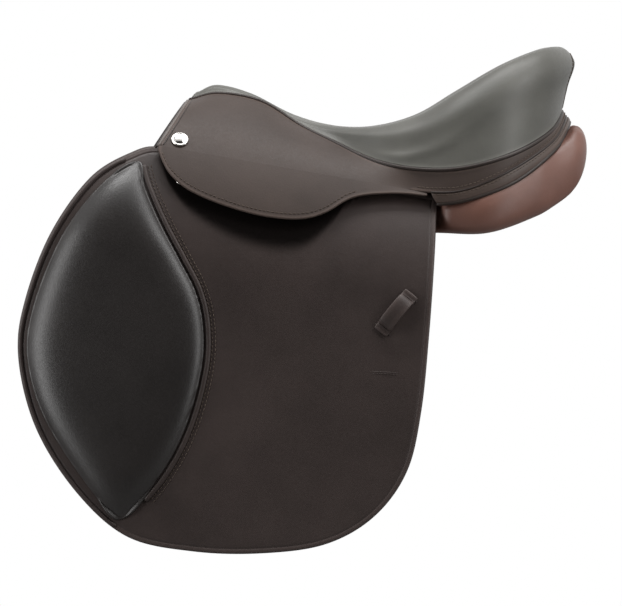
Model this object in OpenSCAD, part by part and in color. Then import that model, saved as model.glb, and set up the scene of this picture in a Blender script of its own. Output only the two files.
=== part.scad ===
// Jumping saddle with a 17 inch seat, as an assembly of its leather, cushion, wood, web and metal pieces.
// Millimetres. Frame: +X to the cantle, -Y to the near (left) side, +Z up.
// Origin: on the middle plane, under the lowest point of the seat, at the level the panels bear on.

/* [Seat] */
// Skirt nail to middle of cantle, the seat size
seat_size = 432; // [415:1:455]
// Width of the seat across its seams at the widest place
seat_width = 286; // [276:1:296]
// Lowest point of the seat above the level the panels bear on
seat_height = 115.5; // [112:0.5:122]
// Pommel above the lowest point of the seat
pommel_rise = 46; // [40:1:52]
// Cantle above the lowest point of the seat
cantle_rise = 88; // [80:1:96]
// Thickness of the seat leather
seat_leather = 3; // [2:0.1:3.5]
// Depth of the foam at the lowest point of the seat
foam_depth = 22; // [16:1:24]
// Radius of the piping in the seat seam
seat_welt_r = 2.2; // [1.5:0.1:2.6]

/* [Skirts] */
// Thickness of the skirt leather
skirt_leather = 3; // [2:0.1:3.5]
// Room under the skirt for the stirrup leather
skirt_room = 10; // [9:0.5:14]
// Depth of the lifting part of the skirt under its bend
skirt_drop = 55; // [48:0.5:58]
// Diameter of the head of the skirt nail
nail_d = 19; // [14:0.5:22]
// Height of the head of the skirt nail
nail_h = 4; // [2.5:0.1:5]

/* [Flaps] */
// Reach of the flap from its rear edge to its front edge
flap_reach = 458; // [450:1:480]
// Drop of the flap from its rear top corner to its lowest point
flap_drop = 393; // [375:1:415]
// Thickness of the flap leather
flap_leather = 4; // [3:0.1:5]
// How far the flap curves outward below its bend
flap_spread = 40; // [34:1:46]
// Room between the flap and the sweat flap for blocks and billets
stack_room = 22; // [20:0.5:26]
// Swell of the padded knee piece
knee_swell = 15; // [8:0.5:20]
// Radius of the raised seam behind the knee piece
knee_welt_r = 2.6; // [1.8:0.1:3]
// Width of the stirrup-leather keeper
keeper_w = 15; // [10:0.5:20]
// Clear height under the keeper
keeper_clear = 7; // [5:0.5:9]

/* [Panels] */
// Width of the channel between the panels
channel_w = 66; // [60:1:74]
// Thickness of the sweat flap leather
sweat_leather = 3; // [2:0.1:3.5]
// Swell of the knee block on the sweat flap
knee_block_swell = 20.5; // [12:0.5:20.5]
// Swell of the thigh block on the sweat flap
thigh_block_swell = 17; // [8:0.5:19]
// Thickness of the facing round the rear of the panels
facing_leather = 3.5; // [2.5:0.1:4]
// Thickness of the lining of the channel
lining_t = 2.5; // [1.5:0.1:3]

/* [Girth straps] */
// Width of a billet
billet_w = 25; // [20:0.5:28]
// Length of a billet under its web
billet_length = 300; // [270:1:315]
// Thickness of a billet
billet_leather = 4; // [3:0.1:4.5]
// Diameter of the billet holes
hole_d = 6; // [4.5:0.1:7]
// Distance between billet holes
hole_pitch = 25; // [20:0.5:26]
// Holes in a billet
hole_count = 5; // [4:1:5]
// Thickness of the webbing
web_t = 2; // [1.2:0.1:2.4]
// Width of the girth webs
web_w = 32; // [26:1:34]
// Height of the girth guard
guard_h = 70; // [60:1:85]
// Thickness of the girth guard leather
guard_leather = 3; // [2:0.1:3.5]

/* [Tree and metal] */
// Thickness of the tree head, front to rear
head_t = 20; // [16:0.5:22]
// Thickness of the steel head and gullet plates
plate_t = 3; // [2:0.1:3.5]
// Thickness of the tree rails
rail_t = 12; // [9:0.5:13]
// Rivet shank diameter
rivet_d = 5; // [4:0.1:6]
// Length of the stirrup bar, front to rear
bar_length = 62; // [56:1:68]
// Height of the stirrup bar
bar_h = 12; // [10:0.5:14]
// Slot behind the stirrup bar for the leather
bar_slot = 7; // [6:0.5:8]
// Thickness of the stirrup bar
bar_t = 6; // [5:0.1:7]
// Diameter of the pin of the bar catch
catch_pin_d = 4; // [3:0.1:4.5]
// Wire of the front dee
dee_wire = 3.6; // [3:0.1:4]
// Clear width of the front dee
dee_w = 14; // [12:0.5:26]

/* [Hidden] */
$fn = 48;
brown = [0.16, 0.11, 0.09];
dark = [0.1, 0.08, 0.07];
red = [0.35, 0.2, 0.16];
steel = [0.7, 0.7, 0.7];
wood = [0.7, 0.55, 0.38];
cloth = [0.8, 0.78, 0.7];
// Gap kept between soft pieces that lie on each other
fit = 0.3;
length_k = seat_size / 432;
width_k = seat_width / 286;
pommel_k = pommel_rise / 46;
cantle_k = cantle_rise / 88;
lift = seat_height - 115.5;
lean = 30;

// Small tools for curves
function mix(a, b, t) = a + (b - a) * t;
function unit(v) = v / norm(v);
function span(k, x, i = 0) = (i >= len(k) - 2 || x < k[i + 1][0]) ? i : span(k, x, i + 1);
function lean_at(k, i) = let(a = max(i - 1, 0),
  b = min(i + 1, len(k) - 1)) (k[b][1] - k[a][1]) / (k[b][0] - k[a][0]);
function curve(k, x) = let(i = span(k, x), h = k[i + 1][0] - k[i][0], t = (x - k[i][0]) / h)
  k[i][1] * (2 * t * t * t - 3 * t * t + 1) + lean_at(k, i) * (h * (t * t * t - 2 * t * t + t))
  + k[i + 1][1] * (3 * t * t - 2 * t * t * t) + lean_at(k, i + 1) * (h * (t * t * t - t * t));
function loop_at(p, u) = let(n = len(p), i = floor(u), t = u - i,
  a = p[(i + n - 1) % n], b = p[i % n], c = p[(i + 1) % n], d = p[(i + 2) % n])
  (b * 2 + (c - a) * t + (a * 2 - b * 5 + c * 4 - d) * (t * t) + (b * 3 - a - c * 3 + d) * (t * t * t)) / 2;
function smooth_loop(p, n) = [for (i = [0:n - 1]) loop_at(p, i * len(p) / n)];
function soft_loop_at(p, u) = let(n = len(p), i = floor(u), t = u - i,
  a = p[i % n], b = p[(i + 1) % n], c = p[(i + 2) % n])
  mix(mix(mix(a, b, 0.5), b, t), mix(b, mix(b, c, 0.5), t), t);
function soft_loop(p, n) = [for (i = [0:n - 1]) soft_loop_at(p, i * len(p) / n)];
function total(v) = v * [for (i = v) 1];
function middle(p) = [for (k = [0:len(p[0]) - 1]) total([for (q = p) q[k]]) / len(p)];

// Closed solids from points, turned so that the faces look outward
module solid(pts, faces) {
  size = total([for (f = faces) pts[f[0]] * cross(pts[f[1]], pts[f[2]])]);
  polyhedron(pts, size > 0 ? [for (f = faces) [f[2], f[1], f[0]]] : faces);
}

// A sheet between two matching grids
module sheet(top, under) {
  m = len(top);
  n = len(top[0]);
  o = m * n;
  edge = concat([for (j = [0:n - 1]) j], [for (i = [1:m - 1]) i * n + n - 1],
    [for (j = [n - 2:-1:0]) (m - 1) * n + j], [for (i = [m - 2:-1:1]) i * n]);
  e = len(edge);
  cells = [for (i = [0:m - 2]) for (j = [0:n - 2]) each
    [[i * n + j, (i + 1) * n + j, (i + 1) * n + j + 1], [i * n + j, (i + 1) * n + j + 1, i * n + j + 1]]];
  solid(concat([for (r = top) each r], [for (r = under) each r]),
    concat(cells, [for (f = cells) [f[2] + o, f[1] + o, f[0] + o]],
      [for (i = [0:e - 1]) each let(a = edge[i], b = edge[(i + 1) % e]) [[a, b, b + o],
        [a, b + o, a + o]]]));
}

// A sheet between two matching sets of rings, each with its middle point first
module disc(top, under) {
  m = len(top) - 1;
  n = len(top[1]);
  o = 1 + m * n;
  cells = concat([for (i = [0:n - 1]) [0, 1 + i, 1 + (i + 1) % n]],
    m < 2 ? [] : [for (k = [0:m - 2]) for (i = [0:n - 1]) each
      let(a = 1 + k * n + i, b = 1 + k * n + (i + 1) % n) [[a, a + n, b + n], [a, b + n, b]]]);
  s = 1 + (m - 1) * n;
  solid(concat([top[0]], [for (k = [1:m]) each top[k]], [under[0]], [for (k = [1:m]) each under[k]]),
    concat(cells, [for (f = cells) [f[2] + o, f[1] + o, f[0] + o]],
      [for (i = [0:n - 1]) each let(a = s + i, b = s + (i + 1) % n) [[b, a, a + o], [b, a + o, b + o]]]));
}

// A closed skin over a row of matching closed sections
module loft(rows) {
  m = len(rows);
  n = len(rows[0]);
  c = m * n;
  solid(concat([for (r = rows) each r], [middle(rows[0]), middle(rows[m - 1])]),
    concat([for (s = [0:m - 2]) for (i = [0:n - 1]) each
      let(a = s * n + i, b = s * n + (i + 1) % n) [[a, a + n, b + n], [a, b + n, b]]],
      [for (i = [0:n - 1]) [c, i, (i + 1) % n]],
      [for (i = [0:n - 1]) [c + 1, (m - 1) * n + (i + 1) % n, (m - 1) * n + i]]));
}

// A round cord along a path, with a rough side direction for its sections
module cord(path, r, side, n = 6) {
  m = len(path);
  loft([for (i = [0:m - 1]) let(t = unit(path[min(i + 1, m - 1)] - path[max(i - 1, 0)]),
    a = unit(cross(t, side)), b = cross(t, a))
    [for (k = [0:n - 1]) path[i] + a * (r * cos(360 * k / n)) + b * (r * sin(360 * k / n))]]);
}

module off_side() {
  mirror([0, 1, 0]) children();
}

module placed(p, a, b, c) {
  multmatrix([[a.x, b.x, c.x, p.x], [a.y, b.y, c.y, p.y], [a.z, b.z, c.z, p.z], [0, 0, 0, 1]]) children();
}

// Bend of flap and skirt: a straight line, and the curved surface that hangs from it
bend_front = [-225 * length_k, 95];
bend_rear = [77 * length_k, 42];
bend_y_front = 80;
bend_y_rear = 118;
spread_depth = 120;
splay = 0.13;
front_wrap = 14;
function bend_share(x) = (x - bend_front.x) / (bend_rear.x - bend_front.x);
function bend_z(x) = mix(bend_front.y, bend_rear.y, bend_share(x));
function bend_y(x) = mix(bend_y_front, bend_y_rear, bend_share(x));
function wrap(x) = x < bend_front.x - 5 ? front_wrap * pow((bend_front.x - 5 - x) / 150, 2) : 0;
function side_y(x, z) = let(t = bend_z(x) - z, q = 1 - t / spread_depth)
  bend_y(x) + flap_spread * (q > 0 ? 1 - q * q : 1) + splay * t - wrap(x);
function side_slope(x, z) = [(side_y(x + 1, z) - side_y(x - 1, z)) / 2,
  (side_y(x, z + 1) - side_y(x, z - 1)) / 2];
function stack(x, z, d) = let(g = side_slope(x, z)) [x, -(side_y(x, z) + d * sqrt(1 + g * g)), z];
function stack_out(x, z) = let(g = side_slope(x, z)) unit([-g.x, -1, -g.y]);
skirt_in = flap_leather + skirt_room;
skirt_out = skirt_in + skirt_leather;
function bend_at(x) = let(a = stack(bend_front.x, bend_front.y, skirt_out),
  b = stack(bend_rear.x, bend_rear.y, skirt_out))
  mix(a, b, bend_share(x));
web_d = -stack_room + fit;
billet_d = web_d + web_t + 2 * fit;

// Guide lines of the seat: along the middle, along the rim, and along the seam with the skirts
function seat_pt(x, y, z) = [x * length_k, -y * width_k,
  seat_height + (z > 0 ? z * (x < 0 ? pommel_k : cantle_k) : z)];
spine_line = [[0, seat_pt(-184, 0, 38)], [1, seat_pt(-162, 0, 46)], [2, seat_pt(-124, 0, 36)],
  [3, seat_pt(-80, 0, 14)], [4, seat_pt(-40, 0, 2.5)], [5, seat_pt(5, 0, -1)], [6, seat_pt(45, 0, 4)],
  [7, seat_pt(78, 0, 12)], [8, seat_pt(102, 0, 21)], [9, seat_pt(116, 0, 28)], [10, seat_pt(122, 0, 31)]];
rim_line = [[0, seat_pt(-186, 6, 37)], [1, seat_pt(-162, 10, 45)], [2, seat_pt(-124, 15, 34.5)],
  [3, seat_pt(-80, 26, 12)], [4, seat_pt(-40, 44, 1.5)], [5, seat_pt(8, 78, 0)], [6, seat_pt(58, 94, 13)],
  [7, seat_pt(104, 101, 40)], [8, seat_pt(152, 93, 68)], [9, seat_pt(194, 63, 82)],
  [10, seat_pt(217, 0, 87.5)]];
seam_line = [[0, seat_pt(-192, 12, 30)], [1, seat_pt(-160, 18, 37)], [2, seat_pt(-113, 26, 28)],
  [3, seat_pt(-71, 44, 2)], [4, seat_pt(-38, 68, -14.5)], [5, seat_pt(11, 108, -37)],
  [6, seat_pt(60, 132, -46)], [7, seat_pt(110, 143, -44)], [8, seat_pt(165, 128, -28)],
  [9, seat_pt(204, 80, -5)], [10, seat_pt(218, 0, 17)]];
dish_line = [[0, 0], [3, 1.5], [5, -1], [7, -6], [9, -8], [10, -6]];
bulge_line = [[0, 1], [2, 2], [4, 6], [6, 13], [8, 16], [10, 15]];
function seat_knots(u) = let(q = curve(spine_line, u), e = curve(rim_line, u), p = curve(seam_line, u),
  m = mix(q, e, 0.5) + [0, 0, curve(dish_line, u)], fan = max(0, min(1, (u - 6) / 4)),
  w = unit([p.x - q.x, p.y - q.y, 0]) * curve(bulge_line, u))
  [[-0.3, [2 * q.x - m.x, 2 * q.y - m.y, mix(m.z, 2 * q.z - m.z, fan)]], [0, q], [0.3, m], [0.6, e],
  [0.74, mix(e, p, 0.22) + w], [0.87, mix(e, p, 0.6) + w * 0.5], [1, p]];
function seat_end(u) = let(k = seat_knots(u), r = k[6][1] - k[5][1],
  t = unit(curve(seam_line, min(u + 0.05, 10)) - curve(seam_line, max(u - 0.05, 0))))
  1 - (seat_welt_r + 2 * fit) * (k[6][0] - k[5][0]) / norm(r - t * (r * t));
function seat_out(u, r) = let(a = min(u + 0.05, 10), b = max(u - 0.05, 0),
  ka = seat_knots(a), kb = seat_knots(b), k = seat_knots(u),
  along = u > 9.99 ? [0, 1, 0] : curve(ka, r) - curve(kb, r),
  across = r < 0.001 && u < 9.99 ? [0, -1, 0] : curve(k, r + 0.02) - curve(k, r - 0.02))
  unit(cross(across, along));
function seat_at(u, r, d) = curve(seat_knots(u), r) + seat_out(u, r) * d;

// One layer of the seat between two depths, from the middle out to a share of each rib
seam_steps = 20;
rib_shares = [0.18, 0.36, 0.5, 0.58, 0.66, 0.74, 0.83, 0.92, 1];
function other(p) = [p.x, -p.y, p.z];
module seat_layer(n, shares, top, under) {
  m = len(shares);
  function rib(j, c) = let(u = 10 * (j <= n ? j : 2 * n - j) / n)
    [for (s = shares) let(r = s * seat_end(u),
      p = seat_at(u, r, c == 0 ? top(u, r) : under(u, r))) j <= n ? p : other(p)];
  function layer(c) = concat([for (j = [0:n]) let(u = 10 * j / n) seat_at(u, 0,
    c == 0 ? top(u, 0) : under(u, 0))],
    [for (j = [0:2 * n]) each rib(j, c)]);
  function mid_i(j) = j <= n ? j : 2 * n - j;
  function rib_i(j, k) = n + 1 + j * m + k;
  a = layer(0);
  o = len(a);
  cells = concat([for (j = [0:2 * n - 1]) each [[mid_i(j), mid_i(j + 1), rib_i(j + 1, 0)],
    [mid_i(j), rib_i(j + 1, 0), rib_i(j, 0)]]],
    [for (j = [0:2 * n - 1]) for (k = [0:m - 2]) each [[rib_i(j, k), rib_i(j + 1, k), rib_i(j + 1, k + 1)],
      [rib_i(j, k), rib_i(j + 1, k + 1), rib_i(j, k + 1)]]]);
  edge = concat([for (j = [0:2 * n]) rib_i(j, m - 1)], [for (k = [m - 2:-1:0]) rib_i(2 * n, k)], [0],
    m < 2 ? [] : [for (k = [0:m - 2]) rib_i(0, k)]);
  e = len(edge);
  solid(concat(a, layer(1)), concat(cells, [for (f = cells) [f[2] + o, f[1] + o, f[0] + o]],
    [for (i = [0:e - 1]) each let(p = edge[i], q = edge[(i + 1) % e]) [[p, q, q + o], [p, q + o, p + o]]]));
}

foam_across = [[0, 1], [0.3, 0.95], [0.5, 0.75], [0.62, 0.42], [0.75, 0.28], [1, 0.2]];
foam_along = [[0, 3], [1, 3.5], [2, 5], [3, 11], [4, foam_depth - 3], [5, foam_depth], [6, foam_depth],
  [7.5, foam_depth * 0.6], [9, foam_depth * 0.4], [10, foam_depth * 0.38]];
function foam_at(u, r) = min(curve(foam_along, u), max(2.5, foam_depth * curve(foam_across, r)));
foam_top = -seat_leather - fit;

module seat_cover() {
  color(brown) seat_layer(seam_steps, rib_shares, function(u, r) 0, function(u, r) -seat_leather);
}

module seat_foam() {
  color(cloth) seat_layer(seam_steps, [0.18, 0.36, 0.58, 0.66, 0.74, 0.88], function(u, r) foam_top,
    function(u, r) foam_top - foam_at(u, r));
}

// Strainer web under the foam
module seat_web() {
  function row(d) = [for (i = [0:10]) let(u = 2 + 5 * i / 10) concat(
    [for (r = [0.26, 0.13]) seat_at(u, r, foam_top - foam_at(u, r) - 3 * fit + d)],
    [seat_at(u, 0, foam_top - foam_at(u, 0) - 3 * fit + d)],
    [for (r = [0.13, 0.26]) other(seat_at(u, r, foam_top - foam_at(u, r) - 3 * fit + d))])];
  color(cloth) sheet(row(0), row(-web_t));
}
function web_under(x) = let(u = curve([for (k = spine_line) if (k[0] < 8) [k[1].x, k[0]]], x))
  seat_at(u, 0, foam_top - foam_at(u, 0) - 4 * fit - web_t).z;

// Piping in the seam of seat and skirts
module seat_welt() {
  half = [for (i = [0:seam_steps]) curve(seam_line, 10 * i / seam_steps)];
  color(dark) cord(concat(half, [for (i = [seam_steps - 1:-1:0]) other(half[i])]), seat_welt_r, [0, 0, 1]);
}

// Skirt surface from the seat seam to the bend, and on as the band under the cantle
hem_x = [[0, -225], [1, -196], [2, -148], [3, -98], [4, -52], [5, -2], [6, 50]];
band_from = 6;
hem_line = concat([for (k = hem_x) [k[0], bend_at(k[1] * length_k)]],
  [[7, [105 * length_k, -146 * width_k, 46.5 + lift / 2]],
  [8, [161 * length_k, -133 * width_k, 70 + lift / 2]], [9, [207 * length_k, -84 * width_k, 101 + lift / 2]],
  [10, [222.5 * length_k, 0, 127.5 + lift]]]);
function hem_at(u) = u <= band_from ? bend_at(curve(hem_x, u) * length_k) : curve(hem_line, u);
shoulder_line = [[0, 46], [1, 48], [2, 48], [3, 40], [4, 28], [5, 12], [6, 9], [10, 6]];
shoulder_out = [[0, 0.8], [4, 0.8], [5, 0.8], [6, 0.5], [7, -0.1], [10, -0.1]];
shoulder_at = [[0, 0.1], [1, 0.45], [2, 0.6], [10, 0.6]];
function skirt_pt(u, v) = let(p = curve(seam_line, u), l = hem_at(u), h = curve(shoulder_line, u),
  c = [mix(p.x, l.x, curve(shoulder_at, u)), l.y + h * curve(shoulder_out, u) * (u > 9.9 ? 0 : 1), l.z + h])
  p * ((1 - v) * (1 - v)) + c * (2 * v * (1 - v)) + l * (v * v);
function skirt_norm(u, v) = let(n = cross(skirt_pt(min(u + 0.05, 10), v) - skirt_pt(max(u - 0.05, 0), v),
  skirt_pt(u, v + 0.02) - skirt_pt(u, v - 0.02))) unit(u > 9.99 ? [n.x, 0, n.z] : n) * -1;
function skirt_top(u) = (seat_welt_r + 4 * fit) / norm((skirt_pt(u, 0.02) - skirt_pt(u, 0)) / 0.02);
function skirt_at(u, v, d) = skirt_pt(u, v) + skirt_norm(u, v) * d;
function skirt_end(u) = 1 - (u < band_from ? 0.45 : 0.6) / norm((skirt_pt(u, 1) - skirt_pt(u,
  0.98)) / 0.02);
module skirt_half() {
  function row(d) = [for (i = [0:seam_steps]) let(u = 9.99 * i / seam_steps, a = skirt_top(u),
    b = skirt_end(u))
    [for (j = [0:5]) skirt_at(u, mix(a, b, j / 5), d)]];
  color(brown) sheet(row(0), row(-skirt_leather));
}
module skirt_left() {
  skirt_half();
}
module skirt_right() {
  off_side() skirt_half();
}

// Lifting part of the skirt, below the bend
drop_k = skirt_drop / 55;
lift_front = -222;
lift_rear = 48;
lift_steps = 28;
lift_depth = [[lift_front, 13], [-216, 25.5], [-205, 35.5], [-192, 42.5], [-165, 50], [-126, 55], [-93, 55],
  [-66, 50.5], [-44, 40], [-22, 23.2], [-5, 14.8], [22, 8], [lift_rear, 6]];
function lift_low(x) = max(6, drop_k * curve(lift_depth, x));
// Drop of the inner edge at the bend that makes the cut square to the leather
square_cut = 0.66;
module skirt_lift_half() {
  function row(d) = [for (i = [0:lift_steps]) let(at = mix(lift_front, lift_rear, i / lift_steps),
    x = at * length_k,
    top = bend_z(x) - 0.4 - (skirt_out - d) * square_cut, low = bend_z(x) - lift_low(at))
    [for (j = [0:4]) stack(x, mix(top, low, j / 4), d)]];
  color(brown) sheet(row(skirt_out), row(skirt_in));
}
module skirt_lift_left() {
  skirt_lift_half();
}
module skirt_lift_right() {
  off_side() skirt_lift_half();
}

// Skirt nail with a low domed head and a raised rim
nail_spot = [0.62, 0.9];
module nail_half() {
  p = skirt_at(nail_spot.x, nail_spot.y, fit);
  n = skirt_norm(nail_spot.x, nail_spot.y);
  a = unit(cross([0, 0, 1], n));
  color(steel) placed(p, a, cross(n, a), n) rotate_extrude()
    polygon([[0, 0], [nail_d / 2, 0], [nail_d / 2, nail_h * 0.35], [nail_d / 2 - 0.8, nail_h * 0.6],
      [nail_d / 2 - 2, nail_h * 0.6], [nail_d / 2 - 2.6, nail_h * 0.45], [nail_d / 4, nail_h * 0.9],
      [0, nail_h]]);
}
module skirt_nail_left() {
  nail_half();
}
module skirt_nail_right() {
  off_side() nail_half();
}

// Flap outline, hung from the rear end of the bend
reach_k = flap_reach / 458;
drop_share = flap_drop / 393;
function flap_pt(x, z) = [bend_rear.x + (x - 77) * reach_k, bend_rear.y + (z - 42) * drop_share];
function on_bend(x, down) = [x * length_k, bend_z(x * length_k) - down];
bar_front = -152 * length_k;
bar_rear = bar_front + bar_length;
flap_edge = concat([on_bend(-196, 2), on_bend(-226, 2.5)],
  [for (p = [[-252, 88], [-300, 60], [-345, -2], [-374, -78], [-381, -138], [-362, -214], [-318, -284],
    [-262, -333],
    [-190, -349], [-115, -351], [-45, -341], [8, -311], [44, -262], [60, -196], [69, -110], [75, -25],
    [77, 24]])
    flap_pt(p.x, p.y)],
  [on_bend(75, 2.5), on_bend(40, 2), on_bend(-6, 2), [bar_rear + 42, bend_z(bar_rear + 42) - 2],
    [bar_rear + 34, bend_z(bar_rear) - 12], [bar_rear + 16, 44], [bar_front + 8, 46], [bar_front - 14, 62],
    [bar_front - 20, bend_z(bar_front - 20) - 2]]);
function ringed(edge, c, shares, d) = concat([stack(c.x, c.y, d(0))],
  [for (r = shares) [for (p = edge) let(q = mix(c, p, r)) stack(q.x, q.y, d(r))]]);
flap_rings = [0.4, 0.64, 0.78, 0.9, 1];
pad_rings = [0.3, 0.52, 0.7, 0.83, 0.93, 1];
block_rings = [0.4, 0.65, 0.85, 1];
// Gap under a stiff pad on a curved sheet
pad_seat = 0.8;
module flap_half() {
  edge = smooth_loop(flap_edge, 62);
  c = flap_pt(-150, -150);
  color(brown) disc(ringed(edge, c, flap_rings, function(r) flap_leather),
    ringed(edge, c, flap_rings, function(r) 0));
}
module flap_left() {
  flap_half();
}
module flap_right() {
  off_side() flap_half();
}

// Padded knee piece on the flap
knee_seam = [[-250, 78], [-243, 50], [-226, 10], [-205, -30], [-187, -66], [-179, -104], [-181, -150],
  [-198, -212],
  [-226, -265], [-268, -314]];
knee_edge = concat([for (p = [[-300, -284], [-351, -206], [-371, -138], [-364, -80], [-333, -4],
  [-290, 52]]) flap_pt(p.x, p.y)],
  [for (p = knee_seam) flap_pt(p.x, p.y)]);
module knee_pad_half() {
  edge = smooth_loop(knee_edge, 46);
  c = flap_pt(-277, -110);
  function swell(r) = flap_leather + pad_seat + 3 + knee_swell * pow(1 - pow(r, 2.4), 0.8);
  color(dark) disc(ringed(edge, c, pad_rings, function(r) swell(r)),
    ringed(edge, c, pad_rings, function(r) flap_leather + pad_seat));
}
module knee_pad_left() {
  knee_pad_half();
}
module knee_pad_right() {
  off_side() knee_pad_half();
}

// Raised seam behind the knee piece
module knee_welt_half() {
  path = [for (i = [0:22]) let(u = i / 22 * (len(knee_seam) - 1),
    k = [for (j = [0:len(knee_seam) - 1]) [j, knee_seam[j]]],
    p = curve(k, u), t = unit(curve(k, min(u + 0.1, len(knee_seam) - 1)) - curve(k, max(u - 0.1, 0))),
    q = flap_pt(p.x, p.y) + [-t.y, t.x] * (knee_welt_r + 3))
    stack(q.x, q.y, flap_leather + 2 * fit + knee_welt_r)];
  color(brown) cord(path, knee_welt_r, [0, 1, 0]);
}
module knee_welt_left() {
  knee_welt_half();
}
module knee_welt_right() {
  off_side() knee_welt_half();
}

// Keeper for the end of the stirrup leather: a strap loop standing on the flap
keeper_t = 3;
keeper_span = 34;
module keeper_half() {
  c = flap_pt(33, -88);
  n = stack_out(c.x, c.y);
  a = unit(cross(cross(n, [0.63, 0, 0.78]), n));
  b = cross(n, a);
  s = keeper_span / 2;
  h = keeper_clear;
  function arch(w, t) = [for (i = [0:12]) let(q = 180 * i / 12) [-w * cos(q), t * sin(q)]];
  color(brown) placed(stack(c.x, c.y, flap_leather + 0.6), a, b, n)
    translate([0, keeper_w / 2, 0]) rotate([90, 0, 0]) linear_extrude(keeper_w)
      polygon(concat([[-s - 9, 0]], [[-s, 0]], [for (p = arch(s - 0.5, h)) p],
      [[s, 0], [s + 9, 0], [s + 9, keeper_t]],
        [for (i = [12:-1:0]) let(p = arch(s + keeper_t, h + keeper_t)[i]) [p.x, max(p.y, keeper_t)]],
          [[-s - 9, keeper_t]]));
}
module keeper_left() {
  keeper_half();
}
module keeper_right() {
  off_side() keeper_half();
}

// Front dee: a ring that hangs on the pin of a staple on the flap, under the skirt
// Dee behind the top of the knee seam
dee_behind = 52;
dee_x = flap_pt(knee_seam[0].x, 0).x + dee_behind;
dee_z = bend_z(dee_x) - 25;
staple_pin = 4;
staple_plate = 2;
dee_gap = 0.6;
module dee_place() {
  n = stack_out(dee_x, dee_z);
  a = unit(cross([0, 0, 1], n));
  placed(stack(dee_x, dee_z, flap_leather + 0.2), a, cross(n, a), n) children();
}
module staple_half() {
  color(steel) dee_place() {
    translate([-9, -2.5 - staple_pin / 2, 0]) cube([18, 12, staple_plate]);
    cylinder(d = staple_pin, h = staple_plate + dee_gap * 2 + dee_wire);
    translate([0, 0, staple_plate + dee_gap * 2 + dee_wire]) cylinder(d = staple_pin + 3, h = 0.9);
  }
}
module ring_half() {
  eye_r = staple_pin / 2 + 0.06;
  low = staple_plate + dee_gap;
  color(steel) dee_place() translate([0, 0, low]) difference() {
    union() {
      cylinder(r = eye_r + 2.4, h = dee_wire);
      translate([0, -eye_r - 2, 0]) linear_extrude(dee_wire) difference() {
        polygon([[-dee_w / 2 - dee_wire, 0], [dee_w / 2 + dee_wire, 0], [dee_w / 2 + dee_wire, -8],
          for (i = [0:12]) [(dee_w / 2 + dee_wire) * cos(15 * i),
            -8 - (dee_w / 2 + dee_wire - 3) * sin(15 * i)],
          [-dee_w / 2 - dee_wire, -8]]);
        polygon([[-dee_w / 2, -dee_wire], [dee_w / 2, -dee_wire], [dee_w / 2, -8],
          for (i = [0:12]) [dee_w / 2 * cos(15 * i), -8 - (dee_w / 2 - 3) * sin(15 * i)],
            [-dee_w / 2, -8]]);
      }
    }
    translate([0, 0, -1]) cylinder(r = eye_r, h = dee_wire + 2);
  }
}
module dee_staple_left() {
  staple_half();
}
module dee_staple_right() {
  off_side() staple_half();
}
module dee_ring_left() {
  ring_half();
}
module dee_ring_right() {
  off_side() ring_half();
}

// Sweat flap, and the blocks on it
sweat_edge = concat([for (p = [[-250, 66], [-298, 48], [-337, -10], [-364, -82], [-371, -138], [-353, -211],
  [-311, -279],
  [-262, -321], [-232, -330], [-190, -337], [-115, -339], [-50, -329], [-4, -302], [36, -259], [53, -195],
  [63, -110],
  [69, -25], [69, 8]]) flap_pt(p.x, p.y)],
  [on_bend(52, 34), on_bend(0, 36), on_bend(-70, 36), on_bend(-140, 32), on_bend(-205, 25)]);
module sweat_half() {
  edge = smooth_loop(sweat_edge, 46);
  c = flap_pt(-150, -150);
  color(dark) disc(ringed(edge, c, flap_rings, function(r) -stack_room),
    ringed(edge, c, flap_rings, function(r) -stack_room - sweat_leather));
}
module block_half(pts, c, swell, n) {
  edge = smooth_loop([for (p = pts) flap_pt(p.x, p.y)], n);
  base = -stack_room + pad_seat;
  high = min(swell, stack_room - 2 * pad_seat);
  color(dark) disc(ringed(edge, c, block_rings,
    function(r) base + 2 + (high - 2) * pow(1 - pow(r, 2.6), 0.75)),
    ringed(edge, c, block_rings, function(r) base));
}
module knee_block_half() {
  block_half([[-258, 40], [-312, 6], [-344, -70], [-350, -135], [-332, -196], [-303, -178], [-290, -110],
  [-270, -40], [-248, 8]],
    flap_pt(-310, -90), knee_block_swell, 27);
}
module thigh_block_half() {
  block_half([[36, -62], [52, -66], [56, -100], [53, -160], [43, -208], [32, -220], [30, -160], [31, -100]],
    flap_pt(43, -138), thigh_block_swell, 16);
}
module sweat_flap_left() {
  sweat_half();
}
module sweat_flap_right() {
  off_side() sweat_half();
}
module knee_block_left() {
  knee_block_half();
}
module knee_block_right() {
  off_side() knee_block_half();
}
module thigh_block_left() {
  thigh_block_half();
}
module thigh_block_right() {
  off_side() thigh_block_half();
}

// Panel cushions: heights of outer top, outer foot, inner foot, inner top, then half widths of foot and top
panel_line = [[-232, [30, -22, 46, 69, 100, 96]], [-150, [36, -15, 46, 77, 108, 104]],
  [-60, [44, -6, 36, 70, 118, 114]], [20, [40, -3, 26, 60, 124, 120]], [80, [36, -3, 22, 58, 136, 132]],
  [135, [46, -3, 22, 66, 145, 136]], [190, [75, 17, 36, 88, 118, 103]], [212, [87, 32, 52, 99, 97, 76]],
  [224, [96, 42, 61, 105, 86, 66]], [230, [104, 47, 65, 114, 80, 62]]];
// Swell of the panel's outer side behind the flap
panel_bulge = 3;
panel_front = -232;
panel_rear = 230;
// Rounded rear end: steps back and shares of the last section
panel_end = [[3.5, 0.93], [7, 0.78], [10.5, 0.57], [13, 0.33]];
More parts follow.
